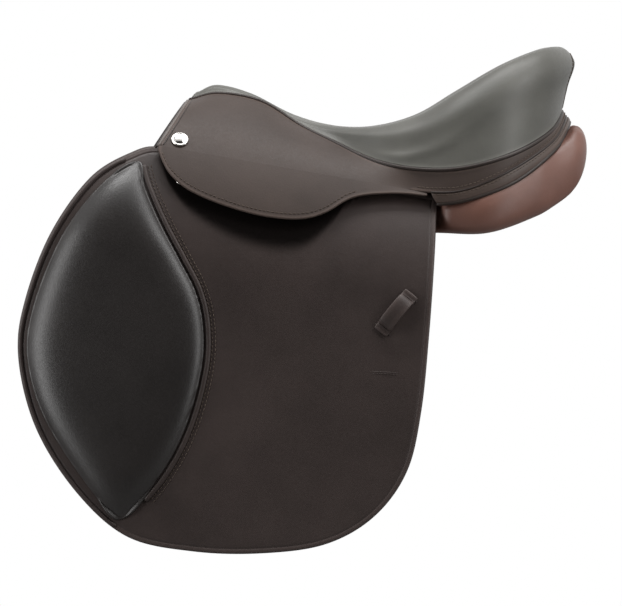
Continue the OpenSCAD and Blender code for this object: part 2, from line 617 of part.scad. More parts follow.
// Height where the leaning front sections of the panel cross their station
lean_top = 90;
function panel_shear(x) = x < -100 ? 0.45 * (-100 - x) / 132 : 0;
function panel_face(x, z) = let(g = side_slope(x, z))
  side_y(x, z) - (stack_room + sweat_leather + pad_seat) * sqrt(1 + g * g);
function panel_row(x0, small) = let(k = curve(panel_line, x0), x = x0 * length_k, s = panel_shear(x0),
  free = max(0, min(1, (x0 - 80) / 25)), far = k[4] * width_k, inner = channel_w / 2,
    zo = mix(k[0], k[1], 0.45),
  a = [mix(panel_face(x - s * (lean_top - k[0]), k[0]), k[5] * width_k, free), k[0]],
  o = [mix(panel_face(x - s * (lean_top - zo), zo), far + panel_bulge, free), zo],
  b = [mix(panel_face(x - s * (lean_top - k[1]), k[1]), far - panel_bulge, free), k[1]],
  e = [inner, k[3]], f = [inner, k[2]],
  poly = [a, o, b, mix(b, f, 0.5) - [0, 7], f, e, mix(e, a, 0.5)],
  ring = soft_loop(poly, 20), c = middle(ring))
  [for (p = ring) let(q = mix(c, p, small)) [x - s * (lean_top - q.y), -q.x, q.y]];
module panel_half() {
  xs = [panel_front, -226, -200, -170, -130, -90, -50, -10, 30, 60, 80, 105, 135, 165, 190, 207, 219,
    panel_rear];
  rows = concat([[for (p = panel_row(panel_front, 0.55)) p + [-6, 0, 0]]],
    [for (x = xs) panel_row(x, x == panel_front ? 0.86 : 1)],
    [for (e = panel_end) [for (p = panel_row(panel_rear, e[1])) p + [e[0], 0, 0]]]);
  color(red) loft(rows);
}
module panel_left() {
  panel_half();
}
module panel_right() {
  off_side() panel_half();
}

// Facing round the rear of the panels, under the band of the skirts, and its piping
foot_line = [[6, [58 * length_k, -136 * width_k, 31]], [7, [110 * length_k, -147 * width_k, 37]],
  [8, [166 * length_k, -133 * width_k, 58]], [9, [212 * length_k, -86 * width_k, 94]],
  [10, [228 * length_k, 0, 122.5]]];
function facing_pt(u, v) = let(a = hem_at(u), b = curve(foot_line, u)) mix(a, b, v);
function facing_in(u) = let(t = curve(foot_line, min(u + 0.05, 10)) - curve(foot_line, max(u - 0.05, 6)))
  u > 9.99 ? [-1, 0, 0] : unit([-t.y, t.x, 0]);
module rear_facing() {
  function at(i, v, d) = let(u = 6.75 + 3.25 * (i <= 14 ? i : 28 - i) / 14,
    p = facing_pt(u, v) + facing_in(u) * d)
    i <= 14 ? p : other(p);
  function row(d) = [for (i = [0:28]) [for (v = [0.12, 0.5, 0.92]) at(i, v, d)]];
  color(dark) sheet(row(0.4), row(0.4 + facing_leather));
}
panel_welt_r = 2.2;
module panel_welt() {
  function at(i) = let(u = 6.75 + 3.25 * i / 14) curve(foot_line, u) + facing_in(u) * 2 - [0, 0,
    panel_welt_r];
  half = [for (i = [0:14]) at(i)];
  color(dark) cord(concat(half, [for (i = [13:-1:0]) other(half[i])]), panel_welt_r, [0, 0, 1]);
}

// Lining of the channel between the panels
module channel_lining() {
  w = channel_w / 2 - fit;
  xs = [-215, -180, -140, -100, -60, -20, 20, 60, 100, 135, 165, 190, 210, 225];
  function bow(x, d) = let(k = curve(panel_line, x), low = (k[2] + k[3]) / 2 - 2, up = k[3])
    [for (p = [[-w + d, low], [-w + d, up - 8], [-w * 0.82 + d * 0.7, up - d * 0.7], [-w * 0.4, up + 2 - d],
      [0, up + 2.6 - d],
      [w * 0.4, up + 2 - d], [w * 0.82 - d * 0.7, up - d * 0.7], [w - d, up - 8], [w - d, low]])
      [x * length_k - panel_shear(x) * (lean_top - p.y), p.x, p.y]];
  color(dark) sheet([for (x = xs) bow(x, 0)], [for (x = xs) bow(x, lining_t)]);
}

// Tree: head arch on a leaning plane, with its plates and the facing in front
head_foot = -275 * length_k;
up_axis = [sin(lean), 0, cos(lean)];
back_axis = [cos(lean), 0, -sin(lean)];
arch_out = [[0, 139], [18, 136], [38, 123], [56, 104], [70, 84]];
arch_in = [[0, 114], [16, 111], [30, 101], [44, 86], [57, 70]];
arch_lift = lift + (pommel_rise - 46);
function arch_pt(p, grow) = [p.x, (p.y + (p.y > 60 ? arch_lift * min(1,
  (p.y - 60) / 40) : 0) + grow) / cos(lean)];
function arch_poly(rise, sink) = let(last = len(arch_out) - 1,
  o = [for (i = [0:last]) arch_pt(arch_out[i], rise)],
  n = [for (i = [0:last]) arch_pt(arch_in[i], sink)])
  concat([for (p = o) p], [for (i = [last:-1:1]) n[i]], [n[0]], [for (i = [1:last]) [-n[i].x, n[i].y]],
    [for (i = [last:-1:1]) [-o[i].x, o[i].y]]);
module arch(start, thick, rise, sink) {
  placed([head_foot, 0, 0] + back_axis * start, [0, 1, 0], up_axis, back_axis) linear_extrude(thick)
    polygon(arch_poly(rise, sink));
}
facing_t = 3;
plate_at = facing_t + fit;
head_at = plate_at + plate_t + 0.05;
gullet_at = head_at + head_t + 0.05;
rivet_spots = [[0, 126.5], [30, 114], [-30, 114], [58, 85], [-58, 85]];
module rivet_row(start, thick, d) {
  for (p = rivet_spots) {
    q = arch_pt(p, 0);
    placed([head_foot, 0, 0] + back_axis * start, [0, 1, 0], up_axis,
    back_axis) translate([q.x, q.y, 0]) cylinder(d = d, h = thick);
  }
}
module pommel_facing() {
  color(dark) arch(0, facing_t, 4, 1);
}
module head_plate() {
  color(steel) difference() {
    arch(plate_at, plate_t, -1, 1);
    rivet_row(plate_at - 1, plate_t + 2, rivet_d + 0.1);
  }
}
module tree_head() {
  color(wood) difference() {
    arch(head_at, head_t, 0, 0);
    rivet_row(head_at - 1, head_t + 2, rivet_d + 0.1);
  }
}
module gullet_plate() {
  color(steel) difference() {
    arch(gullet_at, plate_t, -1, 1);
    rivet_row(gullet_at - 1, plate_t + 2, rivet_d + 0.1);
  }
}
module tree_rivets() {
  color(steel) {
    rivet_row(plate_at, gullet_at + plate_t + 1 - plate_at, rivet_d);
    rivet_row(gullet_at + plate_t + 0.05, 1.6, rivet_d + 4);
  }
}

// Side rails and cantle board of the tree: middle line, half width and tilt of the section
// Front end of the rails behind the foot of the head
rail_start = 85.1;
rail_line = [[0, [(head_foot + rail_start) / length_k, 56, 87]], [1, [-125, 56, 93]], [2, [-62, 62, 84]],
  [3, [0, 80, 74]], [4, [50, 88, 86]], [5, [96, 93, 108]]];
rail_wide = [[0, 19], [1, 19], [2, 17], [3, 17], [4, 17.5], [5, 17.5]];
rail_tilt = [[0, 42], [1, 40], [2, 30], [3, 14], [4, 0], [5, -8]];
function rail_mid(s) = let(p = curve(rail_line, s)) [p.x * length_k, -p.y * width_k, p.z + lift];
function rail_in(s) = [0, cos(curve(rail_tilt, s)), sin(curve(rail_tilt, s))];
function rail_up(s) = [0, -sin(curve(rail_tilt, s)), cos(curve(rail_tilt, s))];
function slab(n) = [for (i = [0:n - 1]) let(q = 360 * (i + 0.5) / n, c = cos(q), s = sin(q),
  k = pow(pow(abs(c), 6) + pow(abs(s), 6), 1 / 6)) [c / k, s / k]];
function rail_row(s, half, thick, down, n) = let(c = rail_mid(s) - rail_up(s) * down, a = rail_in(s),
  b = rail_up(s), k = max(0, 1 - s) * tan(lean))
  [for (q = slab(n)) let(p = c + a * (q.x * half) + b * (q.y * thick / 2)) p + [k * (p.z - c.z), 0, 0]];
module rail_half() {
  color(wood) loft([for (i = [0:12]) rail_row(5 * i / 12, curve(rail_wide, 5 * i / 12), rail_t, 0, 12)]);
}
module tree_rail_left() {
  rail_half();
}
module tree_rail_right() {
  off_side() rail_half();
}
board_line = [[0, [96, 93, 108]], [1, [138, 85, 127]], [2, [172, 59, 143]], [3, [189, 0, 149]]];
function board_mid(s) = let(p = curve(board_line, s)) [p.x * length_k, -p.y * width_k,
  p.z + lift + (cantle_rise - 88) * p.x / 200];
board_tilt = 8;
module tree_cantle() {
  function row(s) = let(t = board_mid(min(s + 0.05, 3)) - board_mid(max(s - 0.05, 0)),
    o = s > 2.99 ? [1, 0, 0] : (s < 0.05 ? [0, -1, 0] : unit([-t.y, t.x, 0] * -1)),
      w = curve([[0, 17.5], [1, 17], [3, 17]], s),
    a = o * -cos(board_tilt) - [0, 0, sin(board_tilt)])
    [for (q = slab(12)) board_mid(s) + a * (q.x * w) + [0, 0, q.y * rail_t / 2]];
  half = [for (i = [0:10]) row(3 * i / 10)];
  function turn(r) = [for (p = r) other(p)];
  color(wood) loft(concat([for (r = half) [for (p = r) p + [0.3, 0, 0]]],
    [for (i = [9:-1:0]) [for (p = turn(half[i])) p + [0.3, 0, 0]]]));
}
spring_t = 1.6;
module spring_half() {
  loft([for (i = [1:11]) rail_row(5 * i / 12, 8, spring_t, rail_t / 2 + spring_t / 2 + 2 * fit, 6)]);
}
module tree_springs() {
  color(steel) {
    spring_half();
    off_side() spring_half();
  }
}

// Girth webs over the rails, down to the billets
front_x = flap_pt(-58, 0).x;
rear_x = flap_pt(-2, 0).x;
billet_top = 26;
web_sag = 5;
function web_path(x) = let(s = curve([for (k = rail_line) [k[1].x * length_k, k[0]]], x), c = rail_mid(s),
  a = rail_in(s), b = rail_up(s), w = curve(rail_wide, s), up = rail_t / 2 + 2 * fit + web_t / 2,
  out = c - a * (w + 2) + b * up, inn = c + a * w + b * up, top = web_under(x) - web_t / 2 - web_sag)
  concat([for (z = [-24, -10, 3, 16]) let(q = stack(x, billet_top + z, web_d + web_t / 2)) [q.y, q.z]],
    [[out.y, out.z], [inn.y, inn.z], [-20 * width_k, top - 1.2], [0, top]]);
module girth_web(x) {
  function line(xe) = let(p = web_path(xe), k = [for (j = [0:len(p) - 1]) [j, p[j]]],
    half = [for (i = [0:14]) curve(k, (len(p) - 1) * i / 14)])
    concat(half, [for (i = [13:-1:0]) [-half[i].x, half[i].y]]);
  function row(xe, d) = let(p = line(xe), m = len(p))
    [for (i = [0:m - 1]) let(t = unit(p[min(i + 1, m - 1)] - p[max(i - 1, 0)]),
      q = p[i] + [-t.y, t.x] * d) [xe, q.x, q.y]];
  xs = [x - web_w / 2, x, x + web_w / 2];
  color(cloth) sheet([for (xe = xs) row(xe, web_t / 2)], [for (xe = xs) row(xe, -web_t / 2)]);
}
module girth_web_front() {
  girth_web(front_x);
}
module girth_web_rear() {
  girth_web(rear_x);
}

// Billets: straps with holes, each swinging a little about its sewn top
billet_out = stack_out(front_x, -200);
function hole_z(i) = billet_top - billet_length + 28 + hole_pitch * i;
module billet_half(x) {
  zs = [billet_top + 14, billet_top, billet_top - 14, billet_top - 28, billet_top - 42, billet_top - 56,
    billet_top - 70, billet_top - 88,
    billet_top - 120, billet_top - billet_length + 12, billet_top - billet_length];
  function row(d) = [for (i = [0:len(zs) - 1]) let(w = billet_w / 2 * (i == len(zs) - 1 ? 0.45 : 1))
    [for (j = [-1, 0, 1]) stack(x + j * w, zs[i], d)]];
  color(dark) difference() {
    sheet(row(billet_d + billet_leather), row(billet_d));
    for (i = [0:hole_count - 1]) {
      p = stack(x, hole_z(i), billet_d);
      a = unit(cross([0, 0, 1], billet_out));
      placed(p - billet_out * 3, a, cross(billet_out, a), billet_out) cylinder(d = hole_d,
      h = billet_leather + 6);
    }
  }
}
module billet_front_left() {
  billet_half(front_x);
}
module billet_rear_left() {
  billet_half(rear_x);
}
module billet_front_right() {
  off_side() billet_half(front_x);
}
module billet_rear_right() {
  off_side() billet_half(rear_x);
}

// Girth guard: a leather loop round both billets that slides along them
guard_top = -66;
module guard_half() {
  mid = (front_x + rear_x) / 2;
  z = guard_top - guard_h / 2;
  a = unit(cross([0, 0, 1], billet_out));
  b = cross(billet_out, a);
  inner_w = rear_x - front_x + billet_w + 28;
  back = 1.5;
  room = billet_leather + 1.5;
  color(dark) placed(stack(mid, z, billet_d - 0.5 - back), a, b, billet_out) difference() {
    translate([-inner_w / 2 - guard_leather, -guard_h / 2, 0])
      cube([inner_w + 2 * guard_leather, guard_h, back + room + guard_leather]);
    translate([-inner_w / 2, -guard_h / 2 - 1, back]) cube([inner_w, guard_h + 2, room]);
  }
}
module girth_guard_left() {
  guard_half();
}
module girth_guard_right() {
  off_side() guard_half();
}

// Stirrup bar on the rail, with the catch at its rear end
bar_y = 56 * width_k + 19 * cos(40) + rail_t / 2 * sin(40) + 0.4;
bar_z = 78 + lift;
bar_plate = 3;
bar_far = bar_y + bar_plate + bar_slot;
module bar_half() {
  color(steel) difference() {
    union() {
      translate([bar_front - 4, -bar_y - bar_plate, bar_z - 12]) cube([bar_length + 8, bar_plate, 26]);
      translate([bar_front, -bar_far - bar_t, bar_z - bar_h / 2]) cube([10, bar_t + bar_slot + 0.5, bar_h]);
      translate([bar_front, -bar_far - bar_t, bar_z - bar_h / 2]) cube([bar_length, bar_t, bar_h]);
      translate([bar_rear, -bar_far - bar_t, bar_z]) rotate([-90, 0, 0]) cylinder(d = bar_h, h = bar_t);
    }
    translate([bar_rear, -bar_far - bar_t - 1, bar_z]) rotate([-90, 0, 0]) cylinder(d = catch_pin_d + 0.02,
      h = bar_t + 2);
    translate([bar_rear - bar_h / 2 - 0.6, -bar_far - bar_t * 0.7, bar_z - bar_h]) cube([bar_h + 8,
      bar_t * 0.4, bar_h * 2]);
  }
}
module pin_half() {
  color(steel) translate([bar_rear, -bar_far - bar_t + 0.2, bar_z]) rotate([-90, 0,
    0]) cylinder(d = catch_pin_d, h = bar_t - 0.4);
}
module catch_half() {
  thick = bar_t * 0.4 - 0.3;
  color(steel) difference() {
    union() {
      translate([bar_rear, -bar_far - bar_t * 0.7 + 0.15, bar_z]) rotate([-90, 0,
        0]) cylinder(d = bar_h - 0.8, h = thick);
      translate([bar_rear, -bar_far - bar_t * 0.7 + 0.15, bar_z - bar_h / 2 + 0.4]) cube([16, thick,
        bar_h - 0.8]);
    }
    translate([bar_rear, -bar_far - bar_t, bar_z]) rotate([-90, 0, 0]) cylinder(d = catch_pin_d + 0.1,
      h = bar_t * 2);
  }
}
module stirrup_bar_left() {
  bar_half();
}
module stirrup_bar_right() {
  off_side() bar_half();
}
module catch_pin_left() {
  pin_half();
}
module catch_pin_right() {
  off_side() pin_half();
}
module bar_catch_left() {
  catch_half();
}
module bar_catch_right() {
  off_side() catch_half();
}

tree_head();
tree_rail_left();
tree_rail_right();
tree_cantle();
head_plate();
gullet_plate();
tree_rivets();
tree_springs();
stirrup_bar_left();
stirrup_bar_right();
bar_catch_left();
bar_catch_right();
catch_pin_left();
catch_pin_right();
seat_web();
girth_web_front();
girth_web_rear();
billet_front_left();
billet_rear_left();
billet_front_right();
billet_rear_right();
girth_guard_left();
girth_guard_right();
seat_foam();
seat_cover();
seat_welt();
skirt_left();
skirt_right();
skirt_lift_left();
skirt_lift_right();
skirt_nail_left();
skirt_nail_right();
pommel_facing();
panel_left();
panel_right();
rear_facing();
panel_welt();
channel_lining();
sweat_flap_left();
sweat_flap_right();
knee_block_left();
knee_block_right();
thigh_block_left();
thigh_block_right();
flap_left();
flap_right();
knee_pad_left();
knee_pad_right();
knee_welt_left();
knee_welt_right();
keeper_left();
keeper_right();
dee_staple_left();
dee_staple_right();
dee_ring_left();
dee_ring_right();
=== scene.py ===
"""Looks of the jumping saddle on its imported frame. Guide lines are in millimetres, in its own frame."""
import math
import bpy
import numpy as np
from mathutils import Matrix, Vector
from mathutils.kdtree import KDTree


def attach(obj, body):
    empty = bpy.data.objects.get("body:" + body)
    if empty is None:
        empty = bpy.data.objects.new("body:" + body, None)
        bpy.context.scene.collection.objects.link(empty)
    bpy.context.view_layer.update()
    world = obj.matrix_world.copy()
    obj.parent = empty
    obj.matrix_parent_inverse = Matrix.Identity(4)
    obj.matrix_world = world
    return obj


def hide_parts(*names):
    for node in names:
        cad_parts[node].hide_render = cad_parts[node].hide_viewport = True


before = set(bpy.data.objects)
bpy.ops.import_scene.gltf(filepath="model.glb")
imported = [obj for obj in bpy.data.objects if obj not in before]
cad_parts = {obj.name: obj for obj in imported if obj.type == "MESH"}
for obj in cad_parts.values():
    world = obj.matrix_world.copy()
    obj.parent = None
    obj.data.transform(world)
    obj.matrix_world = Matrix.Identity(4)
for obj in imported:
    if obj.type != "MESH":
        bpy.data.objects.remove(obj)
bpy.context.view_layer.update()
scene = bpy.context.scene
scene.view_settings.view_transform = "Standard"
MM = 0.001
SIDES = (("left", "near", False), ("right", "off", True))
FAR_FROM_RIM = 60.0


# Curves and loops
def real(values):
    return np.asarray(values, float)


def curve(line, x):
    """Smooth values along keys and values. The values may also be one table for each row of x."""
    keys = real(line[0])
    values = real(line[1])
    flat = values.ndim == 1
    if flat:
        values = values[:, None]
    x = real(x)
    last = len(keys) - 1
    i = np.clip(np.searchsorted(keys, x, side="right") - 1, 0, last - 1)
    step = (keys[i + 1] - keys[i])[..., None]
    t = (x - keys[i])[..., None] / step
    low = np.maximum(np.arange(last + 1) - 1, 0)
    high = np.minimum(np.arange(last + 1) + 1, last)
    slopes = (values[..., high, :] - values[..., low, :]) / (keys[high] - keys[low])[:, None]

    def pick(table, j):
        if table.ndim == 2:
            return table[j]
        return np.take_along_axis(table, j[..., None], axis=1)

    first = pick(values, i) * (2 * t**3 - 3 * t**2 + 1) + pick(slopes, i) * step * (t**3 - 2 * t**2 + t)
    second = pick(values, i + 1) * (3 * t**2 - 2 * t**3) + pick(slopes, i + 1) * step * (t**3 - t**2)
    return (first + second)[..., 0] if flat else first + second


def loop_steps(points, n):
    """Shares of the way to the next point for n steps round a loop, and a lookup of the points near them."""
    p = real(points)
    u = np.arange(n) * len(p) / n
    i = np.floor(u).astype(int)
    return (u - i)[:, None], lambda j: p[(i + j) % len(p)]


def smooth_loop(points, n):
    """A closed curve through the points."""
    t, at = loop_steps(points, n)
    a, b, c, d = (at(j) for j in (-1, 0, 1, 2))
    return (2 * b + (c - a) * t + (2 * a - 5 * b + 4 * c - d) * t**2 + (3 * b - a - 3 * c + d) * t**3) / 2


def soft_loop(points, n):
    """A rounder closed curve that stays inside the points."""
    t, at = loop_steps(points, n)
    a, b, c = (at(j) for j in (0, 1, 2))
    first = (a + b) / 2 * (1 - t) + b * t
    second = b * (1 - t) + (b + c) / 2 * t
    return first * (1 - t) + second * t


def unit(v):
    return v / np.linalg.norm(v, axis=-1, keepdims=True)


def flip(points):
    return np.asarray(points) * np.array([1, -1, 1])


def mirrored(half):
    """Rows of the near side and, after the middle row, their mirror images."""
    return np.concatenate([half, flip(half[-2::-1])])


def even(path, step):
    """The path again, in points about one step apart."""
    path = real(path)
    length = np.concatenate([[0], np.cumsum(np.linalg.norm(np.diff(path, axis=0), axis=1))])
    count = max(2, int(round(length[-1] / step)) + 1)
    at = np.linspace(0, length[-1], count)
    return np.stack([np.interp(at, length, path[:, k]) for k in range(path.shape[1])], -1)


def between(first, second, shares):
    """Rows of points that go straight from one line to another."""
    return first[:, None] + (second - first)[:, None] * shares[None, :, None]


def eased(t):
    t = np.clip(t, 0, 1)
    return t * t * (3 - 2 * t)


# The curved side on which flap, pads and straps lie
BEND_FRONT = -225
BEND_REAR = 77
BEND_HIGH = 95
BEND_LOW = 42
SIDE_HALF = 80
SIDE_WIDENS = 38
SIDE_SPREAD = 40
SPREAD_REACH = 120
SIDE_SLANT = 0.13
WRAP_FROM = -230
WRAP_BY = 14
WRAP_REACH = 150


def bend_share(x):
    return (x - BEND_FRONT) / (BEND_REAR - BEND_FRONT)


def bend_z(x):
    return BEND_HIGH + (BEND_LOW - BEND_HIGH) * bend_share(x)


def side_y(x, z):
    """Half width of the side: wider to the rear, spread below the bend and wrapped in at the front."""
    down = bend_z(x) - z
    q = np.maximum(1 - down / SPREAD_REACH, 0)
    wrap = np.where(x < WRAP_FROM, WRAP_BY * ((WRAP_FROM - x) / WRAP_REACH) ** 2, 0)
    return SIDE_HALF + SIDE_WIDENS * bend_share(x) + SIDE_SPREAD * (1 - q * q) + SIDE_SLANT * down - wrap


def side_slope(x, z):
    return (side_y(x + 1, z) - side_y(x - 1, z)) / 2, (side_y(x, z + 1) - side_y(x, z - 1)) / 2


def stack(x, z, d):
    """Points of the near side at a depth d outside the inner face of the flap."""
    x, z, d = np.broadcast_arrays(real(x), real(z), real(d))
    gx, gz = side_slope(x, z)
    return np.stack([x, -(side_y(x, z) + d * np.sqrt(1 + gx * gx + gz * gz)), z], -1)


def stack_out(x, z):
    gx, gz = side_slope(real(x), real(z))
    return unit(np.stack([-gx, -np.ones_like(gx), -gz], -1))


# Meshes: each is a tuple of points, faces, distances to the cut edge and sharp edges
def cells(index, wrap=False):
    if wrap:
        index = np.concatenate([index, index[:, :1]], 1)
    quads = np.stack([index[:-1, :-1], index[1:, :-1], index[1:, 1:], index[:-1, 1:]], -1)
    return [tuple(q) for q in quads.reshape(-1, 4).tolist()]


def fan(middle, ring):
    return [(middle, a, b) for a, b in zip(ring.tolist(), np.roll(ring, -1).tolist())]


def border(index):
    return np.concatenate([index[:, 0], index[-1, 1:], index[-2::-1, -1], index[0, -2:0:-1]])


def distance(points, rim):
    tree = KDTree(len(rim))
    for i, p in enumerate(rim):
        tree.insert(p, i)
    tree.balance()
    return np.array([tree.find(p)[2] for p in points])


def shell(outer, inner, faces, loops, flat=None):
    """A leather sheet with half-round cut edges. Vertices marked flat have a plain cut."""
    outer = real(outer).reshape(-1, 3)
    inner = real(inner).reshape(-1, 3)
    count = len(outer)
    flat = np.zeros(count, bool) if flat is None else flat.reshape(-1)
    thick = outer - inner
    first = np.array([f[:3] for f in faces])
    turn = np.cross(outer[first[:, 1]] - outer[first[:, 0]], outer[first[:, 2]] - outer[first[:, 0]])
    if np.sum(turn * thick[first[:, 0]]) < 0:
        faces = [f[::-1] for f in faces]
        loops = [np.asarray(loop)[::-1] for loop in loops]
    points = [outer, inner]
    polys = list(faces) + [tuple(count + i for i in f[::-1]) for f in faces]
    base = 2 * count
    sharp = []
    rim = []
    for loop in loops:
        loop = np.asarray(loop)
        mid = (outer[loop] + inner[loop]) / 2
        half = thick[loop] / 2
        out = np.cross(np.roll(mid, -1, 0) - np.roll(mid, 1, 0), half)
        out = unit(out) * np.linalg.norm(half, axis=1, keepdims=True)
        out[flat[loop]] = 0
        ends = [(a, b) for a, b in zip(loop, np.roll(loop, -1)) if flat[a] and flat[b]]
        sharp += ends + [(a + count, b + count) for a, b in ends]
        rim.append(outer[loop][~flat[loop]])
        rows = [loop]
        for angle in np.radians((40, 90, 140)):
            points.append(mid + half * math.cos(angle) + out * math.sin(angle))
            rows.append(base + np.arange(len(loop)))
            base += len(loop)
        rows.append(loop + count)
        for a, b in zip(rows, rows[1:]):
            polys += [tuple(q) for q in np.stack([np.roll(a, -1), a, b, np.roll(b, -1)], -1).tolist()]
    points = np.concatenate(points)
    return points, polys, distance(points, np.concatenate(rim)), sharp


def grid_shell(outer, inner, flat=None):
    rows, columns = outer.shape[:2]
    index = np.arange(rows * columns).reshape(rows, columns)
    return shell(outer, inner, cells(index), [border(index)], flat)


def disc_rings(edge, centre, shares, insets):
    """Rings of a flat outline: shares of the way to the first inset, then insets from the edge."""
    edge = real(edge)
    ray = unit(centre - edge)
    along = unit(np.roll(edge, -1, 0) - np.roll(edge, 1, 0))
    inward = np.stack([-along[:, 1], along[:, 0]], -1)
    area = np.sum(edge[:, 0] * np.roll(edge[:, 1], -1) - edge[:, 1] * np.roll(edge[:, 0], -1))
    slant = np.clip(np.sum(ray * inward, 1) * np.sign(area), 0.45, 1)
    for _ in range(10):
        slant = (np.roll(slant, 1) + 2 * slant + np.roll(slant, -1)) / 4
    step = ray / slant[:, None]
    first = edge + step * insets[0]
    rings = [centre + (first - centre) * s for s in shares]
    rings += [edge + step * e for e in insets]
    return np.array(rings)


def disc_shell(rings, centre, outer_d, inner_d):
    """A sheet or pad on the curved side, with one depth, or one for each ring or point, the middle first."""
    count, n = rings.shape[:2]
    flat_points = np.concatenate([[centre], rings.reshape(-1, 2)])

    def face(depth):
        depth = real(depth)
        if depth.ndim and len(depth) != len(flat_points):
            depth = np.concatenate([depth[:1], np.repeat(depth[1:], n)])
        return stack(*flat_points.T, depth)

    index = 1 + np.arange(count * n).reshape(count, n)
    return shell(face(outer_d), face(inner_d), fan(0, index[0]) + cells(index, True), [index[-1]])


def closed_skin(points, polys):
    """A closed skin without a cut edge, its faces turned out."""
    first = np.array([p[:3] for p in polys])
    size = np.sum(points[first[:, 0]] * np.cross(points[first[:, 1]], points[first[:, 2]]))
    if size < 0:
        polys = [p[::-1] for p in polys]
    return points, polys, np.full(len(points), FAR_FROM_RIM), []


def loft(rows):
    """A closed skin over matching closed sections, with a middle point at both ends."""
    rows = real(rows)
    count, n = rows.shape[:2]
    index = np.arange(count * n).reshape(count, n)
    points = np.concatenate([rows.reshape(-1, 3), [rows[0].mean(0)], [rows[-1].mean(0)]])
    polys = cells(index, True) + fan(count * n, index[0])
    polys += [(middle, b, a) for middle, a, b in fan(count * n + 1, index[-1])]
    return closed_skin(points, polys)


TUBE_START = (0.31, 0.52, 0.79)
TUBE_END = 0.6


def tube(path, radius, around=12, closed=False, flatten=1.0, up=None):
    """A round cord along a path. With up it is flattened along that direction."""
    path = real(path)
    radius = np.broadcast_to(real(radius), len(path))
    if closed:
        along = unit(np.roll(path, -1, 0) - np.roll(path, 1, 0))
    else:
        along = unit(np.gradient(path, axis=0))
    if up is None:
        side = [unit(np.cross(along[0], TUBE_START))]
        for t in along[1:]:
            side.append(unit(side[-1] - t * np.dot(side[-1], t)))
        side = np.array(side)
    else:
        side = unit(np.cross(along, up))
    lift = np.cross(side, along)
    angle = np.arange(around) * 2 * math.pi / around
    ring = side[:, None] * np.cos(angle)[None, :, None]
    ring = ring + lift[:, None] * (flatten * np.sin(angle))[None, :, None]
    rows = path[:, None] + ring * radius[:, None, None]
    if not closed:
        head = path[0] - along[0] * radius[0] * TUBE_END + ring[0] * radius[0] * TUBE_END
        tail = path[-1] + along[-1] * radius[-1] * TUBE_END + ring[-1] * radius[-1] * TUBE_END
        return loft(np.concatenate([[head], rows, [tail]]))
    index = np.arange(len(rows) * around).reshape(len(rows), around)
    index = np.concatenate([index, index[:1]], 0)
    return closed_skin(rows.reshape(-1, 3), cells(index, True))


def joined(*parts):
    polys = []
    sharp = []
    base = 0
    for points, faces, _, edges in parts:
        polys += [tuple(base + i for i in f) for f in faces]
        sharp += [(a + base, b + base) for a, b in edges]
        base += len(points)
    return np.concatenate([p[0] for p in parts]), polys, np.concatenate([p[2] for p in parts]), sharp


# A stitch: share of its length, height and thickness at each section
STITCH_LENGTH = 3.6
STITCH_GAP = 1.2
STITCH_RADIUS = 0.42
STITCH_STEPS = 8
STITCH_FORM = ((-0.5, -0.5, 0.6), (-0.38, 0.15, 1), (0, 0.42, 1.15), (0.38, 0.15, 1), (0.5, -0.5, 0.6))


def stitches(path, normals):
    """A row of sewn stitches on a surface: short threads that dip in at both ends."""
    path = real(path)
    step = (STITCH_LENGTH + STITCH_GAP) / STITCH_STEPS
    line = even(np.concatenate([path, np.broadcast_to(normals, path.shape)], 1), step)
    turns = [k * math.pi / 3 for k in range(6)]
    threads = []
    for start in range(0, len(line) - STITCH_STEPS, STITCH_STEPS):
        mid = line[start + 3]
        along = unit(line[start + 6, :3] - line[start, :3])
        up = unit(mid[3:])
        side = np.cross(along, up)
        rows = []
        for share, high, size in STITCH_FORM:
            c = mid[:3] + along * (share * STITCH_LENGTH) + up * (high * STITCH_RADIUS)
            rows.append([c + (side * math.cos(k) + up * math.sin(k)) * STITCH_RADIUS * size for k in turns])
        threads.append(loft(rows))
    return joined(*threads)


# Pieces
def setting(thing, **options):
    for key, value in options.items():
        setattr(thing, key, value)
    return thing


def show(name, data):
    piece = bpy.data.objects.new(name, data)
    scene.collection.objects.link(piece)
    return piece


def mark(mesh, name, values, kind="FLOAT", domain="POINT"):
    mesh.attributes.new(name, kind, domain).data.foreach_set("value", values)


def make(name, data, material, mirror=False, painted_shade=None):
    points, polys, far, sharp = data
    points = np.array(points) * MM
    if mirror:
        points = flip(points)
        polys = [p[::-1] for p in polys]
    mesh = bpy.data.meshes.new(name)
    mesh.from_pydata(points.tolist(), [], [[int(i) for i in p] for p in polys])
    mesh.polygons.foreach_set("use_smooth", [True] * len(mesh.polygons))
    mark(mesh, "rim", far)
    # A mask of painted shade: where it is 1 the leather shader paints the colour dark
    if painted_shade is not None:
        mark(mesh, "painted_shade", painted_shade)
    if sharp:
        wanted = {(min(a, b), max(a, b)) for a, b in sharp}
        marks = [(min(e.vertices), max(e.vertices)) in wanted for e in mesh.edges]
        mark(mesh, "sharp_edge", marks, "BOOLEAN", "EDGE")
    mesh.materials.append(material)
    mesh.update()
    return show(name, mesh)


def dress(piece, body, nodes):
    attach(piece, body)
    if nodes:
        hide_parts(*nodes)
    SLOTS.get(piece.data.materials[0], "leather_edge")


def both(name, data, material, part, painted_shade=None):
    """A piece of the near side and its mirror image. Each replaces the frame node of its name, if any."""
    for side, body, mirror in SIDES:
        node = name + "_" + side
        carrier = part if part == "saddle" else body + "_" + part
        piece = make(node, data, material, mirror, painted_shade)
        dress(piece, carrier, [node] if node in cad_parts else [])


def whole(name, data, material, nodes=()):
    """A piece that reaches over both sides."""
    dress(make(name, data, material), "saddle", nodes)


WELD_REACH = 0.00002


